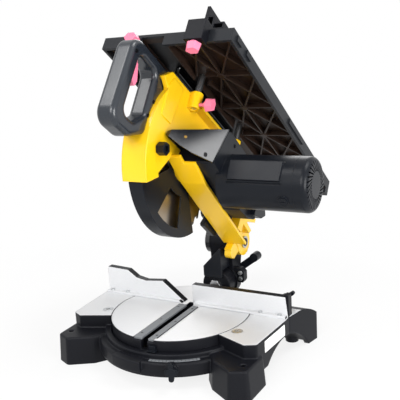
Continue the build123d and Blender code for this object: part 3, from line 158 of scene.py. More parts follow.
class SawFinish(PropertyGroup):
    """Colours of the saw."""
    yellow: colour_prop("Yellow", "#FFCA10", "Enamel of the head casting")
    casting: colour_prop("Casting", "#121318", "Powder coat of the black castings")
    machined: colour_prop("Machined", "#E3E4E6", "Machined faces of the lower table and fence")
    plastic: colour_prop("Plastic", "#12151B", "Moulded covers")
    grip: colour_prop("Grip", "#20252C", "Moulded handle")
    knob: colour_prop("Knob", "#F87F9E", "Clamping knobs and trigger")
    insert: colour_prop("Insert", "#787B7F", "Kerf inserts and scale")
    table: colour_prop("Upper table", "#1E2024", "Paint on the rim of the upper table")
    # The underside's brown among the ribs is a painted brownish reflection
    underside: colour_prop("Underside", "#2A1E18", "Paint among the ribs of the upper table")


class SawSizes(PropertyGroup):
    """Sizes of the small fittings and the stage."""
    edge: length_prop("Edge", 0.8, "Radius of softened edges")
    screw: length_prop("Screw", 3.2, "Radius of the covers' screw heads")
    boss: length_prop("Boss", 7.0, "Radius of the bosses where the table's ribs cross")
    floor: FloatProperty(name="Floor", description="Width of the floor", default=40.0, unit="LENGTH")
    tips: IntProperty(name="Teeth", description="Number of carbide tips on the blade", default=40, min=8)


def finish():
    """The user's colours."""
    return bpy.context.scene.saw_finish


def sizes():
    """The user's sizes."""
    return bpy.context.scene.saw_sizes


def add(tree, kind, inputs=(), **settings):
    """Add a node, set its properties, and set or link its inputs."""
    made = tree.nodes.new(kind)
    for key, value in settings.items():
        setattr(made, key, value)
    for socket, value in dict(inputs).items():
        if isinstance(value, bpy.types.NodeSocket):
            tree.links.new(value, made.inputs[socket])
        else:
            made.inputs[socket].default_value = value
    return made


def material(name):
    """A new material with a bare shader: the material, its tree and the shader node."""
    made = bpy.data.materials.new(name)
    made.use_nodes = True
    tree = made.node_tree
    tree.nodes.clear()
    shader = add(tree, "ShaderNodeBsdfPrincipled")
    add(tree, "ShaderNodeOutputMaterial", {"Surface": shader.outputs[0]})
    return made, tree, shader


def skin(tree, shader, grain_mm, depth_mm, strength, soft_edges=1.0, parting_mm=0.0):
    """Softened edges, but none near a parting line at x 0, and a fine bump of a real grain size.

    Gives the place, the grain and the edges' share.
    """
    place = add(tree, "ShaderNodeTexCoord").outputs["Object"]
    flat = add(tree, "ShaderNodeNewGeometry").outputs["Normal"]
    grain = add(tree, "ShaderNodeTexNoise", {"Vector": place, "Scale": scale_of(grain_mm), "Detail": 3.0})
    soft = add(tree, "ShaderNodeBevel", {"Radius": sizes().edge * soft_edges}, samples=8).outputs[0]
    if parting_mm:
        across = add(tree, "ShaderNodeSeparateXYZ", {"Vector": place}).outputs["X"]
        off = add(tree, "ShaderNodeMath", {0: across}, operation="ABSOLUTE")
        away = add(tree, "ShaderNodeMath", {0: off.outputs[0], 1: parting_mm * MM}, operation="GREATER_THAN")
        lean = add(tree, "ShaderNodeVectorMath", {0: soft, 1: flat}, operation="SUBTRACT")
        kept = add(tree, "ShaderNodeVectorMath", {0: lean.outputs[0], "Scale": away.outputs[0]},
                   operation="SCALE")
        soft = add(tree, "ShaderNodeVectorMath", {0: flat, 1: kept.outputs[0]}, operation="ADD").outputs[0]
    bump = add(tree, "ShaderNodeBump", {"Height": grain.outputs["Fac"], "Distance": depth_mm * MM,
                                        "Strength": strength, "Normal": soft})
    tree.links.new(bump.outputs[0], shader.inputs["Normal"])
    turn = add(tree, "ShaderNodeVectorMath", {0: soft, 1: flat}, operation="DOT_PRODUCT")
    edge = add(tree, "ShaderNodeMapRange", {"Value": turn.outputs["Value"], "From Min": EDGE_STARTS,
                                            "From Max": EDGE_FULL, "To Min": 0.0, "To Max": 1.0})
    return place, grain.outputs["Fac"], edge.outputs["Result"]


def mottled(tree, place, colour, change, size_mm):
    """A colour that drifts slowly over a surface, and the drift itself."""
    drift = add(tree, "ShaderNodeTexNoise", {"Vector": place, "Scale": scale_of(size_mm), "Detail": 4.0})
    blend = add(tree, "ShaderNodeMix", {"Factor": drift.outputs["Fac"], "A": rgba(colour, 1 - change),
                                        "B": rgba(colour, 1 + change)}, data_type="RGBA")
    return blend.outputs["Result"], drift.outputs["Fac"]


def coated(name, colour, rough, grain_mm, depth_mm, strength, change=0.1, edge_wear_and_highlight=0.35, edge_wear_and_highlight_tone=2.2, shine=0.25,
           soft_edges=1.0, parting_mm=0.0):
    """A painted or moulded surface: grain, drifting colour and gloss, and paler edges, partly rub-through and
    partly a painted highlight.
    """
    made, tree, shader = material(name)
    place, _, edge = skin(tree, shader, grain_mm, depth_mm, strength, soft_edges, parting_mm)
    tone, drift = mottled(tree, place, colour, change, DRIFT_MM)
    # Paler edges: partly rub-through, partly a painted highlight
    wear_and_highlight_share = add(tree, "ShaderNodeMath", {0: edge, 1: edge_wear_and_highlight}, operation="MULTIPLY")
    wear_and_highlight = add(tree, "ShaderNodeMix", {"Factor": wear_and_highlight_share.outputs[0], "A": tone, "B": rgba(colour, edge_wear_and_highlight_tone)},
                 data_type="RGBA")
    gloss = add(tree, "ShaderNodeMapRange", {"Value": drift, "To Min": rough - GLOSS_DRIFT,
                                             "To Max": rough + GLOSS_DRIFT})
    tree.links.new(wear_and_highlight.outputs["Result"], shader.inputs["Base Color"])
    tree.links.new(gloss.outputs["Result"], shader.inputs["Roughness"])
    shader.inputs["Specular IOR Level"].default_value = shine
    return made, shader


def powder_coat(name, colour, rough):
    """Powder coat over cast aluminium: a fine pebbled skin with a soft sheen."""
    return coated(name, colour, rough, grain_mm=1.6, depth_mm=0.08, strength=0.4, change=0.14, shine=0.14,
                  soft_edges=2)[0]


def moulded(name, colour, rough, grain_mm=0.9, depth_mm=0.03, edge_wear_and_highlight=0.3, shine=0.25):
    """Injection-moulded plastic: even colour, a spark-eroded grain and slightly uneven gloss.

    The real grain is about 0.1 mm: it is drawn coarser so that it shows.
    """
    return coated(name, colour, rough, grain_mm, depth_mm, strength=0.3, change=0.07, edge_wear_and_highlight=edge_wear_and_highlight, shine=shine)[0]


def bare_metal(name, code, rough, streak_mm, scales):
    """Turned or ground steel: bright, with fine streaks of a given length along the tool's path.

    The scales of the axes are largest across the streaks. The real streaks are below 0.1 mm wide: they are
    drawn coarser so that they show.
    """
    made, tree, shader = material(name)
    place, _, _ = skin(tree, shader, grain_mm=0.8, depth_mm=0.01, strength=0.2)
    stretch = add(tree, "ShaderNodeMapping", {"Vector": place, "Scale": scales})
    streak = add(tree, "ShaderNodeTexNoise", {"Vector": stretch.outputs[0], "Scale": scale_of(streak_mm),
                                              "Detail": 4.0})
    base = linear(code)
    tone = add(tree, "ShaderNodeMix", {"Factor": streak.outputs["Fac"], "A": rgba(base, STEEL_TONES[0]),
                                       "B": rgba(base, STEEL_TONES[1])}, data_type="RGBA")
    gloss = add(tree, "ShaderNodeMapRange", {"Value": streak.outputs["Fac"],
                                             "To Min": rough - STEEL_GLOSS_DRIFT,
                                             "To Max": rough + STEEL_GLOSS_DRIFT})
    tree.links.new(tone.outputs["Result"], shader.inputs["Base Color"])
    tree.links.new(gloss.outputs["Result"], shader.inputs["Roughness"])
    shader.inputs["Metallic"].default_value = 1.0
    return made


def faced(tree, place, facing, axis, low, high):
    """1 on faces that look one way and lie between two coordinates in millimetres, 0 elsewhere."""
    flat = add(tree, "ShaderNodeNewGeometry").outputs["True Normal"]
    look = add(tree, "ShaderNodeVectorMath", {0: flat, 1: facing}, operation="DOT_PRODUCT")
    looks = add(tree, "ShaderNodeMath", {0: look.outputs["Value"], 1: FACING}, operation="GREATER_THAN")
    value = add(tree, "ShaderNodeSeparateXYZ", {"Vector": place}).outputs[axis]
    above = add(tree, "ShaderNodeMath", {0: value, 1: low * MM}, operation="GREATER_THAN")
    below = add(tree, "ShaderNodeMath", {0: value, 1: high * MM}, operation="LESS_THAN")
    band = add(tree, "ShaderNodeMath", {0: above.outputs[0], 1: below.outputs[0]}, operation="MULTIPLY")
    both = add(tree, "ShaderNodeMath", {0: looks.outputs[0], 1: band.outputs[0]}, operation="MULTIPLY")
    return both.outputs[0]


def machined_casting(name, faces, scales, soft_edges):
    """Powder-coated casting whose working faces are milled bare: satin aluminium with long cutter streaks.

    The scales of the axes are largest across the streaks.
    """
    made, tree, shader = material(name)
    place, grain, edge = skin(tree, shader, grain_mm=1.6, depth_mm=0.08, strength=0.35,
                              soft_edges=soft_edges)
    mask = faced(tree, place, *faces[0])
    for each in faces[1:]:
        other = faced(tree, place, *each)
        mask = add(tree, "ShaderNodeMath", {0: mask, 1: other}, operation="MAXIMUM").outputs[0]
    stretch = add(tree, "ShaderNodeMapping", {"Vector": place, "Scale": scales})
    streak = add(tree, "ShaderNodeTexNoise", {"Vector": stretch.outputs[0], "Scale": scale_of(STREAK_MM),
                                              "Detail": 5.0}).outputs["Fac"]
    bare, coat = finish().machined, finish().casting
    silver = add(tree, "ShaderNodeMix", {"Factor": streak, "A": rgba(bare, MILLED_TONES[0]),
                                         "B": rgba(bare, MILLED_TONES[1])}, data_type="RGBA")
    black = add(tree, "ShaderNodeMix", {"Factor": grain, "A": rgba(coat, COAT_TONES[0]),
                                        "B": rgba(coat, COAT_TONES[1])}, data_type="RGBA")
    # Paler coated edges: partly rub-through, partly a painted highlight
    wear_and_highlight_share = add(tree, "ShaderNodeMath", {0: edge, 1: COAT_EDGE_WEAR_AND_HIGHLIGHT}, operation="MULTIPLY")
    wear_and_highlight = add(tree, "ShaderNodeMix", {"Factor": wear_and_highlight_share.outputs[0], "A": black.outputs["Result"],
                                         "B": rgba(coat, COAT_EDGE_WEAR_AND_HIGHLIGHT_TONE)}, data_type="RGBA")
    tone = add(tree, "ShaderNodeMix", {"Factor": mask, "A": wear_and_highlight.outputs["Result"],
                                       "B": silver.outputs["Result"]}, data_type="RGBA")
    satin = add(tree, "ShaderNodeMapRange", {"Value": streak, "To Min": MILLED_ROUGH[0],
                                             "To Max": MILLED_ROUGH[1]})
    gloss = add(tree, "ShaderNodeMix", {"Factor": mask, "A": COAT_ROUGH, "B": satin.outputs["Result"]},
                data_type="FLOAT")
    metal = add(tree, "ShaderNodeMath", {0: mask, 1: MILLED_METAL}, operation="MULTIPLY")
    tree.links.new(tone.outputs["Result"], shader.inputs["Base Color"])
    tree.links.new(gloss.outputs["Result"], shader.inputs["Roughness"])
    tree.links.new(metal.outputs[0], shader.inputs["Metallic"])
    shader.inputs["Specular IOR Level"].default_value = COAT_SHINE
    return made


def drawn_place(tree, place):
    """A raised surface's place in the head's drawn coordinates, one socket for each axis."""
    back = HEAD_TURN.transposed()
    level = add(tree, "ShaderNodeMapping", {"Vector": place, "Rotation": back.to_euler(),
                                            "Location": DRAW_POINT - back @ DRAW_POINT})
    return add(tree, "ShaderNodeSeparateXYZ", {"Vector": level.outputs[0]}).outputs


def enamel():
    """Baked enamel over cast aluminium: bright, glossy and faintly orange-peeled, with a black left ear."""
    made, shader = coated("baked_enamel_yellow", finish().yellow, rough=0.34, grain_mm=3.5, depth_mm=0.06,
                          strength=0.25, change=0.04, edge_wear_and_highlight=0.15, edge_wear_and_highlight_tone=1.3, shine=0.5, soft_edges=3)
    tree = made.node_tree
    drawn = drawn_place(tree, add(tree, "ShaderNodeTexCoord").outputs["Object"])
    left = add(tree, "ShaderNodeMath", {0: drawn["X"], 1: EAR_X * MM}, operation="LESS_THAN")
    rear = add(tree, "ShaderNodeMath", {0: drawn["Y"], 1: EAR_FROM_Y * MM}, operation="GREATER_THAN")
    ear = add(tree, "ShaderNodeMath", {0: left.outputs[0], 1: rear.outputs[0]}, operation="MULTIPLY")
    yellow = shader.inputs["Base Color"].links[0].from_socket
    tone = add(tree, "ShaderNodeMix", {"Factor": ear.outputs[0], "A": yellow, "B": rgba(finish().casting)},
               data_type="RGBA")
    tree.links.new(tone.outputs["Result"], shader.inputs["Base Color"])
    shader.inputs["Coat Weight"].default_value = 0.4
    shader.inputs["Coat Roughness"].default_value = 0.14
    return made


def painted_table():
    """Painted cast table: a grey-black rim, and among the ribs underneath a browner tone that is a painted
    brownish reflection.
    """
    made, tree, shader = material("painted_table_casting")
    place, _, edge = skin(tree, shader, grain_mm=1.8, depth_mm=0.1, strength=0.4)
    drawn = drawn_place(tree, place)
    mask = None
    for axis, span in zip("XYZ", WELL_ROOM):
        for limit, test in zip(span, ("GREATER_THAN", "LESS_THAN")):
            side = add(tree, "ShaderNodeMath", {0: drawn[axis], 1: limit * MM}, operation=test)
            mask = side.outputs[0] if mask is None else add(
                tree, "ShaderNodeMath", {0: mask, 1: side.outputs[0]}, operation="MULTIPLY").outputs[0]
    rim, drift = mottled(tree, place, finish().table, change=0.12, size_mm=50)
    # Among the ribs: a painted brownish reflection, browner and more uneven than the rim
    brown_reflection, _ = mottled(tree, place, finish().underside, change=0.35, size_mm=30)
    tone = add(tree, "ShaderNodeMix", {"Factor": mask, "A": rim, "B": brown_reflection}, data_type="RGBA")
    # Paler edges: partly rub-through, partly a painted highlight
    wear_and_highlight_share = add(tree, "ShaderNodeMath", {0: edge, 1: TABLE_EDGE_WEAR_AND_HIGHLIGHT}, operation="MULTIPLY")
    wear_and_highlight = add(tree, "ShaderNodeMix", {"Factor": wear_and_highlight_share.outputs[0], "A": tone.outputs["Result"],
                                         "B": rgba(finish().table, TABLE_EDGE_WEAR_AND_HIGHLIGHT_TONE)}, data_type="RGBA")
    gloss = add(tree, "ShaderNodeMapRange", {"Value": drift, "To Min": TABLE_ROUGH[0],
                                             "To Max": TABLE_ROUGH[1]})
    tree.links.new(wear_and_highlight.outputs["Result"], shader.inputs["Base Color"])
    tree.links.new(gloss.outputs["Result"], shader.inputs["Roughness"])
    shader.inputs["Specular IOR Level"].default_value = COAT_SHINE
    return made


def dress(finish_made, *nodes):
    """Give CAD nodes a finish."""
    for name in nodes:
        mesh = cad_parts[name].data
        mesh.materials.clear()
        mesh.materials.append(finish_made)


def head_place(x, y, z):
    """Where a drawn point of the head, in millimetres, stands when the head is raised."""
    return DRAW_POINT + HEAD_TURN @ (Vector((x, y, z)) * MM - DRAW_POINT)


def seat(at, out, along):
    """Place of a fitting on a surface: its z points out and its x along."""
    z = Vector(out).normalized()
    y = z.cross(Vector(along)).normalized()
    return Matrix.Translation(at) @ Matrix((y.cross(z), y, z)).transposed().to_4x4()


def head_seat(x, y, z, out, along=(0, 1, 0)):
    """Place of a fitting on the raised head, from drawn coordinates and directions."""
    return seat(head_place(x, y, z), HEAD_TURN @ Vector(out), HEAD_TURN @ Vector(along))


def prism(mesh, place, outline, low, high, chamfer=0.0):
    """A closed prism over an outline, in millimetres at its place, with a chamfer round its top."""
    middle = sum((Vector(p) for p in outline), Vector((0, 0))) / len(outline)
    reach = max((Vector(p) - middle).length for p in outline)
    rings = [(low, 1.0), (high - chamfer, 1.0)]
    if chamfer:
        rings.append((high, 1 - chamfer / reach))
    loops = []
    for z, share in rings:
        points = [middle + (Vector(p) - middle) * share for p in outline]
        loops.append([mesh.verts.new(place @ (Vector((p.x, p.y, z)) * MM)) for p in points])
    mesh.faces.new(loops[0][::-1])
    mesh.faces.new(loops[-1])
    for under, over in zip(loops[:-1], loops[1:]):
        for i in range(len(outline)):
            j = (i + 1) % len(outline)
            mesh.faces.new((under[i], under[j], over[j], over[i]))


def circle(radius, steps=28):
    """Points of a circle, in millimetres."""
    return [(radius * cos(2 * pi * i / steps), radius * sin(2 * pi * i / steps)) for i in range(steps)]


def rounded(width, height, corner, steps=5):
    """Points of a rectangle with round corners, in millimetres."""
    points = []
    for turn, (sx, sy) in enumerate(((1, 1), (-1, 1), (-1, -1), (1, -1))):
        for i in range(steps + 1):
            angle = pi / 2 * (turn + i / steps)
            points.append((sx * (width / 2 - corner) + corner * cos(angle),
                           sy * (height / 2 - corner) + corner * sin(angle)))
    return points


def cross_head(mesh, place, radius, high):
    """A screw head with a cross recess down to half its height."""
    half = radius * RECESS_HALF
    prism(mesh, place, circle(radius), 0, high / 2)
    start = asin(half / radius)
    sweep = [start + (pi / 2 - 2 * start) * i / ARC_STEPS for i in range(1, ARC_STEPS)]
    arm = sqrt(radius ** 2 - half ** 2)
    for quarter in range(4):
        turned = place @ Matrix.Rotation(quarter * pi / 2, 4, "Z")
        outline = [(half, half), (arm, half)] + [(radius * cos(a), radius * sin(a)) for a in sweep]
        prism(mesh, turned, outline + [(half, arm)], high / 2, high, chamfer=radius * HEAD_CHAMFER)


def piece(name, mesh, finish_made, body):
    """Make a fitting from its mesh, finish it and let it ride on a body."""
    bmesh.ops.recalc_face_normals(mesh, faces=mesh.faces)
    data = bpy.data.meshes.new(name)
    mesh.to_mesh(data)
    mesh.free()
    data.materials.append(finish_made)
    made = bpy.data.objects.new(name, data)
    bpy.context.scene.collection.objects.link(made)
    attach(made, body)


class SAW_OT_castings(Operator):
    """Finish the painted and machined castings"""
    bl_idname = "saw.castings"
    bl_label = "Castings"

    UP = (0, 0, 1)
    FRONT = (0, -1, 0)
    # How far beyond its own level a milled face still counts
    DECK_ROOM = 0.8
    FENCE_ROOM = 0.5
    FOOT_ROOM = 0.4

    def execute(self, context):
        dress(enamel(), "head_casting")
        deck = (self.UP, "Z", TABLE_Z - self.DECK_ROOM, TABLE_Z + self.DECK_ROOM)
        table = machined_casting("milled_table_casting", [deck], (1, STREAK, 1), soft_edges=6)
        dress(table, "base_casting", "turntable")
        face = (self.FRONT, "Y", 0, FENCE_Y + self.FENCE_ROOM)
        foot = (self.UP, "Z", TABLE_Z, FOOT_Z + self.FOOT_ROOM)
        fence = machined_casting("milled_fence_casting", [face, foot], (1, 1, STREAK), soft_edges=2)
        dress(fence, "fence_left", "fence_right")
        coat = powder_coat("powder_coat_black", finish().casting, rough=0.42)
        dress(coat, "bevel_arm", "gear_case", "rip_fence")
        dress(painted_table(), "upper_table")
        return {"FINISHED"}


class SAW_OT_covers(Operator):
    """Finish the moulded covers, grip, knobs and inserts"""
    bl_idname = "saw.covers"
    bl_label = "Covers and knobs"

    def execute(self, context):
        # Moulded ABS: deep black with a low sheen
        black = moulded("abs_black", finish().plastic, rough=0.32, shine=0.18)
        dress(black, "motor_housing", "motor_cap", "brush_caps", "laser_module", "spindle_lock_button",
              "mitre_lock_screw", "right_fence_screw", "guard_knob", "bevel_lock_lever", "mitre_pointer",
              "switch_body", "cooling_fan", "lower_guard")
        # The same from a polished mould: clear highlights, a little wavy
        polished = moulded("abs_black_polished", finish().plastic, rough=0.24, grain_mm=6.0, depth_mm=0.02,
                           shine=0.6)
        dress(polished, "motor_shield")
        # Nylon moulded in two halves: broad round edges outside and a closed parting line between them
        grip, _ = coated("nylon_grip", finish().grip, rough=0.24, grain_mm=1.1, depth_mm=0.03, strength=0.3,
                         change=0.07, shine=0.6, soft_edges=8, parting_mm=9)
        dress(grip, "handle_left", "handle_right")
        # Dyed nylon: bright pink with a soft gloss
        knob = moulded("nylon_knob", finish().knob, rough=0.34)
        dress(knob, "left_fence_knob", "trigger", "table_front_knob", "table_side_knob", "rip_fence_knob")
        # Grey ABS: duller than the covers
        grey = moulded("abs_grey", finish().insert, rough=0.5)
        dress(grey, "kerf_insert_left", "kerf_insert_right", "mitre_scale")
        return {"FINISHED"}


class SAW_OT_metalwork(Operator):
    """Finish the blade, shafts and fasteners"""
    bl_idname = "saw.metalwork"
    bl_label = "Metalwork"

    def execute(self, context):
        # Ground saw steel: warm grey with long streaks
        blade = bare_metal("ground_saw_steel", "#B9AEA0", rough=0.32, streak_mm=2.0, scales=(1, 1, 8))
        dress(blade, "saw_blade")
        # Zinc plate: bright, cool and finely streaked
        zinc = bare_metal("zinc_plated_steel", "#C8CACC", rough=0.3, streak_mm=1.2, scales=TURNED)
        dress(zinc, "wing_screws", "fence_bolts", "bevel_pin", "bevel_stop_screws", "axle_washers",
              "arbor_bearing", "rear_arbor_bearing", "rotor_bearing", "riving_knife", "inner_flange",
              "outer_flange", "arbor_shaft", "drive_gear", "table_posts")
        # Black oxide: dark steel with a dull metal glint
        oxide = bare_metal("black_oxide_steel", "#2A2B2E", rough=0.4, streak_mm=1.2, scales=TURNED)
        dress(oxide, "mitre_bolt", "insert_screws", "pivot_axle", "head_lock_pin", "arbor_bolt",
              "table_insert")
        # Lacquered copper on a steel core: brown, in fine turns
        wound = bare_metal("wound_core", "#8A5A38", rough=0.45, streak_mm=1.0, scales=(10, 1, 1))
        dress(wound, "stator", "rotor")
        # Cast acrylic: a deep red that lets some light through
        lens, _, shader = material("acrylic_lens_red")
        shader.inputs["Base Color"].default_value = rgba(linear("#B01020"))
        shader.inputs["Transmission Weight"].default_value = 0.6
        shader.inputs["Roughness"].default_value = 0.08
        dress(lens, "laser_lens")
        return {"FINISHED"}


class SAW_OT_screws(Operator):
    """Add the screws of the handle, the motor's box and the shield"""
    bl_idname = "saw.screws"
    bl_label = "Cover screws"

    HANDLE = ((17.0, -199, 257), (17.0, -203, 230), (17.0, -276, 300))
    BOX = ((100.0, -55, 254), (100.0, -66, 218), (100.0, 2, 208))
    SHIELD = (55.6, -142.6, 224.7)
    SHIELD_SHARE = 0.8
    HIGH = 1.2

    def execute(self, context):
        radius = sizes().screw / MM
        # Black zinc: nearly as dark as the covers, with a metal glint
        dark = bare_metal("black_zinc_steel", "#1C1D20", rough=0.38, streak_mm=1.0, scales=TURNED)
        mesh = bmesh.new()
        for x, y, z in self.HANDLE + self.BOX:
            cross_head(mesh, head_seat(x, y, z, (1, 0, 0)), radius, self.HIGH)
        piece("cover_screws", mesh, dark, "head")
        # Passivated zinc: a pale brassy yellow
        mesh = bmesh.new()
        place = head_seat(*self.SHIELD, SHIELD_OUT, SHIELD_ALONG)
        cross_head(mesh, place, radius * self.SHIELD_SHARE, self.HIGH)
        brassy = bare_metal("passivated_zinc_steel", "#C9A45C", rough=0.32, streak_mm=1.0, scales=TURNED)
        piece("shield_screw", mesh, brassy, "head")
        return {"FINISHED"}


class SAW_OT_hole_shade_and_clip(Operator):
    """Add a matt black pad that paints the shade of a hole in the shield, and the clip on the handle"""
    bl_idname = "saw.plug_and_clip"
    bl_label = "Hole shade and clip"

    # Place, then width, height and corner, then height above the surface and chamfer
    # The shield's pad: painted shade of a hole there
    HOLE_SHADE = (87.9, -122.2, 204.0)
    HOLE_SHADE_SIZE = (6.0, 9.0, 2.9)
    HOLE_SHADE_RISE = (0.5, 0.4)
    CLIP = (17.0, -180, 279)
    CLIP_SIZE = (8.0, 9.0, 1.0)
    CLIP_RISE = (2.4, 0.8)
    SUNK = -0.5

    def execute(self, context):
        mesh = bmesh.new()
        # A matt black pad on the shield that paints the shade of a hole
        place = head_seat(*self.HOLE_SHADE, SHIELD_OUT, SHIELD_ALONG)
        prism(mesh, place, rounded(*self.HOLE_SHADE_SIZE), self.SUNK, *self.HOLE_SHADE_RISE)
        place = head_seat(*self.CLIP, (1, 0, 0))
        prism(mesh, place, rounded(*self.CLIP_SIZE), self.SUNK, *self.CLIP_RISE)
        # Nitrile rubber: matt black against the glossy covers, on the clip; on the shield the same black is
        # painted shade of a hole
        black_rubber_and_hole_shade = moulded("nitrile_rubber_and_hole_shade_black", linear("#0D0E11"), rough=0.6, edge_wear_and_highlight=0.1)
        piece("shield_hole_shade_and_clip", mesh, black_rubber_and_hole_shade, "head")
        return {"FINISHED"}


class SAW_OT_rear_covers(Operator):
    """Add the chip deflector behind the blade and the cover in front of the bevel arm's column"""
    bl_idname = "saw.rear_covers"
    bl_label = "Rear covers"

    CHAMFER = 1.2
    THIN_CHAMFER = 0.8
    # Outlines of the deflector's two plates seen from the right, as the head is drawn, and their spans across
    DEFLECTOR = ((77, 208), (71, 181), (73, 175), (79, 171), (116, 166), (122, 167), (125, 172), (124, 208))
    DEFLECTOR_X = (-8, 15)
    REAR_GUARD = ((77, 206), (72, 181), (66, 165), (58, 149), (62, 146), (108, 143), (114, 146), (116, 175),
                  (116, 206))
    REAR_GUARD_X = (5, 14)
    # Outline of the cover's plate seen from the front, and its span towards the front
    PLATE = ((-23, 94), (-21, 92), (15, 92), (17, 94), (17, 152), (15, 153.5), (10, 148), (-23, 114))
    PLATE_OUT = (-138, -131)
    # Outline of the web that joins that plate to the column, seen from the right, and its span across
    WEB = ((137.5, 106), (169, 106), (169, 148), (160, 150), (137.5, 150))
    WEB_X = (9, 16.5)

    def execute(self, context):
        # Moulded polypropylene: duller and coarser than the covers
        black = moulded("polypropylene_black", finish().plastic, rough=0.4, grain_mm=1.2, depth_mm=0.05)
        mesh = bmesh.new()
        drawn = head_seat(0, 0, 0, (1, 0, 0))
        prism(mesh, drawn, self.DEFLECTOR, *self.DEFLECTOR_X, self.CHAMFER)
        prism(mesh, drawn, self.REAR_GUARD, *self.REAR_GUARD_X, self.THIN_CHAMFER)
        piece("chip_deflector", mesh, black, "head")
        mesh = bmesh.new()
        prism(mesh, seat(Vector(), (0, -1, 0), (1, 0, 0)), self.PLATE, *self.PLATE_OUT, self.CHAMFER)
        prism(mesh, seat(Vector(), (1, 0, 0), (0, 1, 0)), self.WEB, *self.WEB_X, self.THIN_CHAMFER)
        piece("column_cover", mesh, black, "bevel_arm")
        return {"FINISHED"}


class SAW_OT_rib_bosses(Operator):
    """Add the bosses where the upper table's ribs cross"""
    bl_idname = "saw.rib_bosses"
    bl_label = "Rib bosses"

    FROM_TO = (-9.5, 1.2)
    CHAMFER = 0.8

    def execute(self, context):
        mesh = bmesh.new()
        for y in RIB_ROWS:
            place = head_seat(RIB_X, y, RIB_LOW_Z, (0, 0, -1), (1, 0, 0))
            prism(mesh, place, circle(sizes().boss / MM), *self.FROM_TO, chamfer=self.CHAMFER)
        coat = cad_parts["upper_table"].data.materials[0]
        piece("rib_bosses", mesh, coat, "upper_table")
        return {"FINISHED"}


class SAW_OT_carbide_tips(Operator):
    """Add the brazed tips of the saw blade"""
    bl_idname = "saw.carbide_tips"
    bl_label = "Carbide tips"

    # Side view of a tip, as radius beyond the blade's and place along the rim, half its width, and the lean
    # of the blade's teeth as a share of their pitch
    OUTLINE = ((-6, -1.6), (0.2, -2.2), (-0.2, 1.4), (-6, 1.0))
    HALF = 1.35
    LEAN = -0.2

    def execute(self, context):
        mesh = bmesh.new()
        pitch = 2 * pi / sizes().tips
        for index in range(sizes().tips):
            angle = (index + self.LEAN) * pitch
            out = Vector((0, cos(angle), sin(angle)))
            place = head_seat(0, ARBOR[0], ARBOR[1], (1, 0, 0), out)
            prism(mesh, place, [(BLADE_R + r, t) for r, t in self.OUTLINE], -self.HALF, self.HALF)
        # Sintered carbide: a dull dark grey against the ground blade
        carbide = bare_metal("sintered_carbide", "#7C7A78", rough=0.5, streak_mm=0.6, scales=(1, 1, 1))
        piece("carbide_tips", mesh, carbide, "blade")
        return {"FINISHED"}


class SAW_OT_scale_marks(Operator):
    """Add the degree marks of the mitre scale"""
    bl_idname = "saw.scale_marks"
    bl_label = "Scale marks"

    STEP_DEG = 2.5
    OUTER_R = 144
    LONG_FROM_R = 139.2
    SHORT_FROM_R = 141.2
    HALF = 0.35
    FROM_TO = (-0.3, 0.12)

    def execute(self, context):
        mesh = bmesh.new()
        low, high = SCALE_DEG
        for index in range(int((high - low) / self.STEP_DEG) + 1):
            angle = radians(low + index * self.STEP_DEG)
            out = Vector((cos(angle), sin(angle), 0))
            inner = self.LONG_FROM_R if index % 2 == 0 else self.SHORT_FROM_R
            outline = [(inner, -self.HALF), (self.OUTER_R, -self.HALF), (self.OUTER_R, self.HALF),
                       (inner, self.HALF)]
            place = seat(Vector((0, 0, SCALE_TOP_Z * MM)), (0, 0, 1), out)
            prism(mesh, place, outline, *self.FROM_TO)
        # Screen-printed ink: flat and almost matt
        ink = moulded("printed_ink_black", linear("#141416"), rough=0.6, edge_wear_and_highlight=0.0)
        piece("scale_marks", mesh, ink, "base")
        return {"FINISHED"}


class SAW_OT_label(Operator):
    """Add the blank label on the base's right side"""
    bl_idname = "saw.label"
    bl_label = "Blank label"

    NEAR = (186.0, -51.0)
    FAR = (191.7, 22.0)
    MIDDLE_Z = 58.5
    HIGH = 20.0
    CORNER = 1.5
    FROM_TO = (-0.4, 0.35)
    CHAMFER = 0.1

    def execute(self, context):
        near, far = Vector(self.NEAR), Vector(self.FAR)
        along = (far - near).normalized()
        out = Vector((along.y, -along.x, 0))
        middle = (near + far) / 2
        place = seat(Vector((middle.x, middle.y, self.MIDDLE_Z)) * MM, out, (along.x, along.y, 0))
        mesh = bmesh.new()
        outline = rounded((far - near).length, self.HIGH, self.CORNER)
        prism(mesh, place, outline, *self.FROM_TO, chamfer=self.CHAMFER)
        # Vinyl film: clean white with a faint sheen
        vinyl = moulded("vinyl_film_white", linear("#F1F2F0"), rough=0.4, grain_mm=8.0, depth_mm=0.01,
                        edge_wear_and_highlight=0.0)
        piece("blank_label", mesh, vinyl, "base")
        return {"FINISHED"}


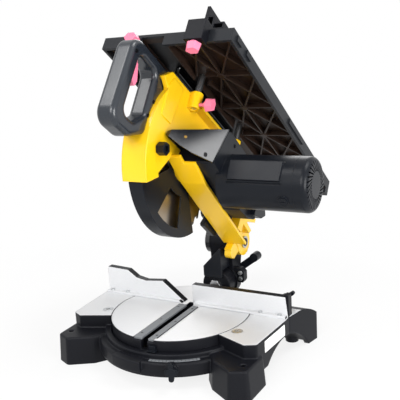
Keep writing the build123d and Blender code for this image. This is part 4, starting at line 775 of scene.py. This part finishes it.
class SAW_OT_stage(Operator):
    """Set up the floor, lights and camera"""
    bl_idname = "saw.stage"
    bl_label = "Stage"

    # The floor's share of plain white near the saw, and the distances in metres over which it grows to 1
    WHITE_SHARE = 0.82
    FADE = (0.35, 0.9)

    def execute(self, context):
        scene = context.scene
        scene.view_settings.view_transform = "Standard"
        self.floor(scene)
        self.world(scene)
        self.lights(scene)
        self.camera(scene)
        return {"FINISHED"}

    def seen(self, tree):
        """1 for rays that show the background itself: from the camera, and by gloss or glass."""
        path = add(tree, "ShaderNodeLightPath")
        gloss = add(tree, "ShaderNodeMath", {0: path.outputs["Is Camera Ray"],
                                             1: path.outputs["Is Glossy Ray"]}, operation="MAXIMUM")
        return add(tree, "ShaderNodeMath", {0: gloss.outputs[0], 1: path.outputs["Is Transmission Ray"]},
                   operation="MAXIMUM").outputs[0]

    def floor(self, scene):
        """Pale floor that keeps the saw's shadow and fades to white further out."""
        mesh = bpy.data.meshes.new("floor")
        half = sizes().floor / 2
        mesh.from_pydata([(-half, -half, 0), (half, -half, 0), (half, half, 0), (-half, half, 0)], [],
                         [(0, 1, 2, 3)])
        floor = bpy.data.objects.new("floor", mesh)
        scene.collection.objects.link(floor)
        # Matt paper: an even pale ground with no gloss
        paper, tree, shader = material("matt_paper_white")
        shader.inputs["Base Color"].default_value = rgba(linear("#F4F4F4"))
        shader.inputs["Roughness"].default_value = 0.9
        place = add(tree, "ShaderNodeTexCoord")
        far = add(tree, "ShaderNodeVectorMath", {0: place.outputs["Object"]}, operation="LENGTH")
        white = add(tree, "ShaderNodeMapRange", {"Value": far.outputs["Value"], "From Min": self.FADE[0],
                                                 "From Max": self.FADE[1], "To Min": self.WHITE_SHARE,
                                                 "To Max": 1.0})
        share = add(tree, "ShaderNodeMath", {0: self.seen(tree), 1: white.outputs["Result"]},
                    operation="MULTIPLY")
        glow = add(tree, "ShaderNodeEmission", {"Color": WHITE, "Strength": 1.0})
        blend = add(tree, "ShaderNodeMixShader", {0: share.outputs[0], 1: shader.outputs[0],
                                                  2: glow.outputs[0]})
        tree.links.new(blend.outputs[0], tree.nodes["Material Output"].inputs["Surface"])
        mesh.materials.append(paper)

    def world(self, scene):
        """White surround for the camera and reflections, a plain level of light for the rest."""
        world = bpy.data.worlds.new("studio")
        scene.world = world
        world.use_nodes = True
        tree = world.node_tree
        tree.nodes.clear()
        level = add(tree, "ShaderNodeMapRange", {"Value": self.seen(tree), "To Min": WORLD_LIGHT,
                                                 "To Max": 1.0})
        back = add(tree, "ShaderNodeBackground", {"Color": WHITE, "Strength": level.outputs["Result"]})
        add(tree, "ShaderNodeOutputWorld", {"Surface": back.outputs[0]})

    def lights(self, scene):
        """A soft key in front, a fill at the right, boxes above the motor and the front left, one behind."""
        for name, at, size, power in LAMPS:
            data = bpy.data.lights.new(name, "AREA")
            data.energy = power
            data.size = size
            lamp = bpy.data.objects.new(name, data)
            lamp.location = at
            lamp.rotation_euler = (LIT_POINT - Vector(at)).to_track_quat("-Z", "Y").to_euler()
            scene.collection.objects.link(lamp)

    def camera(self, scene):
        """The photograph's camera."""
        azimuth, elevation, roll = (radians(a) for a in (CAMERA_AZIMUTH, CAMERA_ELEVATION, CAMERA_ROLL))
        back = Vector((sin(azimuth) * cos(elevation), -cos(azimuth) * cos(elevation), sin(elevation)))
        level = Vector((cos(azimuth), sin(azimuth), 0))
        upward = back.cross(level)
        right = cos(roll) * level + sin(roll) * upward
        up = -sin(roll) * level + cos(roll) * upward
        data = bpy.data.cameras.new("camera")
        data.sensor_width = SENSOR_MM
        data.lens = FOCAL_PIXELS * SENSOR_MM / FRAME_PIXELS
        camera = bpy.data.objects.new("camera", data)
        turn = Matrix((right, up, back)).transposed().to_4x4()
        camera.matrix_world = Matrix.Translation(CAMERA_AT) @ turn
        scene.collection.objects.link(camera)
        scene.camera = camera


OPERATORS = (SAW_OT_castings, SAW_OT_covers, SAW_OT_metalwork, SAW_OT_screws, SAW_OT_hole_shade_and_clip,
             SAW_OT_rear_covers, SAW_OT_rib_bosses, SAW_OT_carbide_tips, SAW_OT_scale_marks, SAW_OT_label,
             SAW_OT_stage)


class SAW_PT_looks(Panel):
    """Lists the saw's operators"""
    bl_idname = "SAW_PT_looks"
    bl_label = "Mitre saw"
    bl_space_type = "VIEW_3D"
    bl_region_type = "UI"
    bl_category = "Mitre saw"

    def draw(self, context):
        for operator in OPERATORS:
            self.layout.operator(operator.bl_idname)


CLASSES = (SawFinish, SawSizes, *OPERATORS, SAW_PT_looks)


def register():
    """Register the classes and their settings."""
    for each in CLASSES:
        bpy.utils.register_class(each)
    bpy.types.Scene.saw_finish = PointerProperty(type=SawFinish)
    bpy.types.Scene.saw_sizes = PointerProperty(type=SawSizes)


def unregister():
    """Remove the classes and their settings."""
    del bpy.types.Scene.saw_sizes
    del bpy.types.Scene.saw_finish
    for each in reversed(CLASSES):
        bpy.utils.unregister_class(each)


def main():
    """Build the looks."""
    register()
    for operator in OPERATORS:
        group, name = operator.bl_idname.split(".")
        getattr(getattr(bpy.ops, group), name)()


if __name__ == "__main__":
    main()
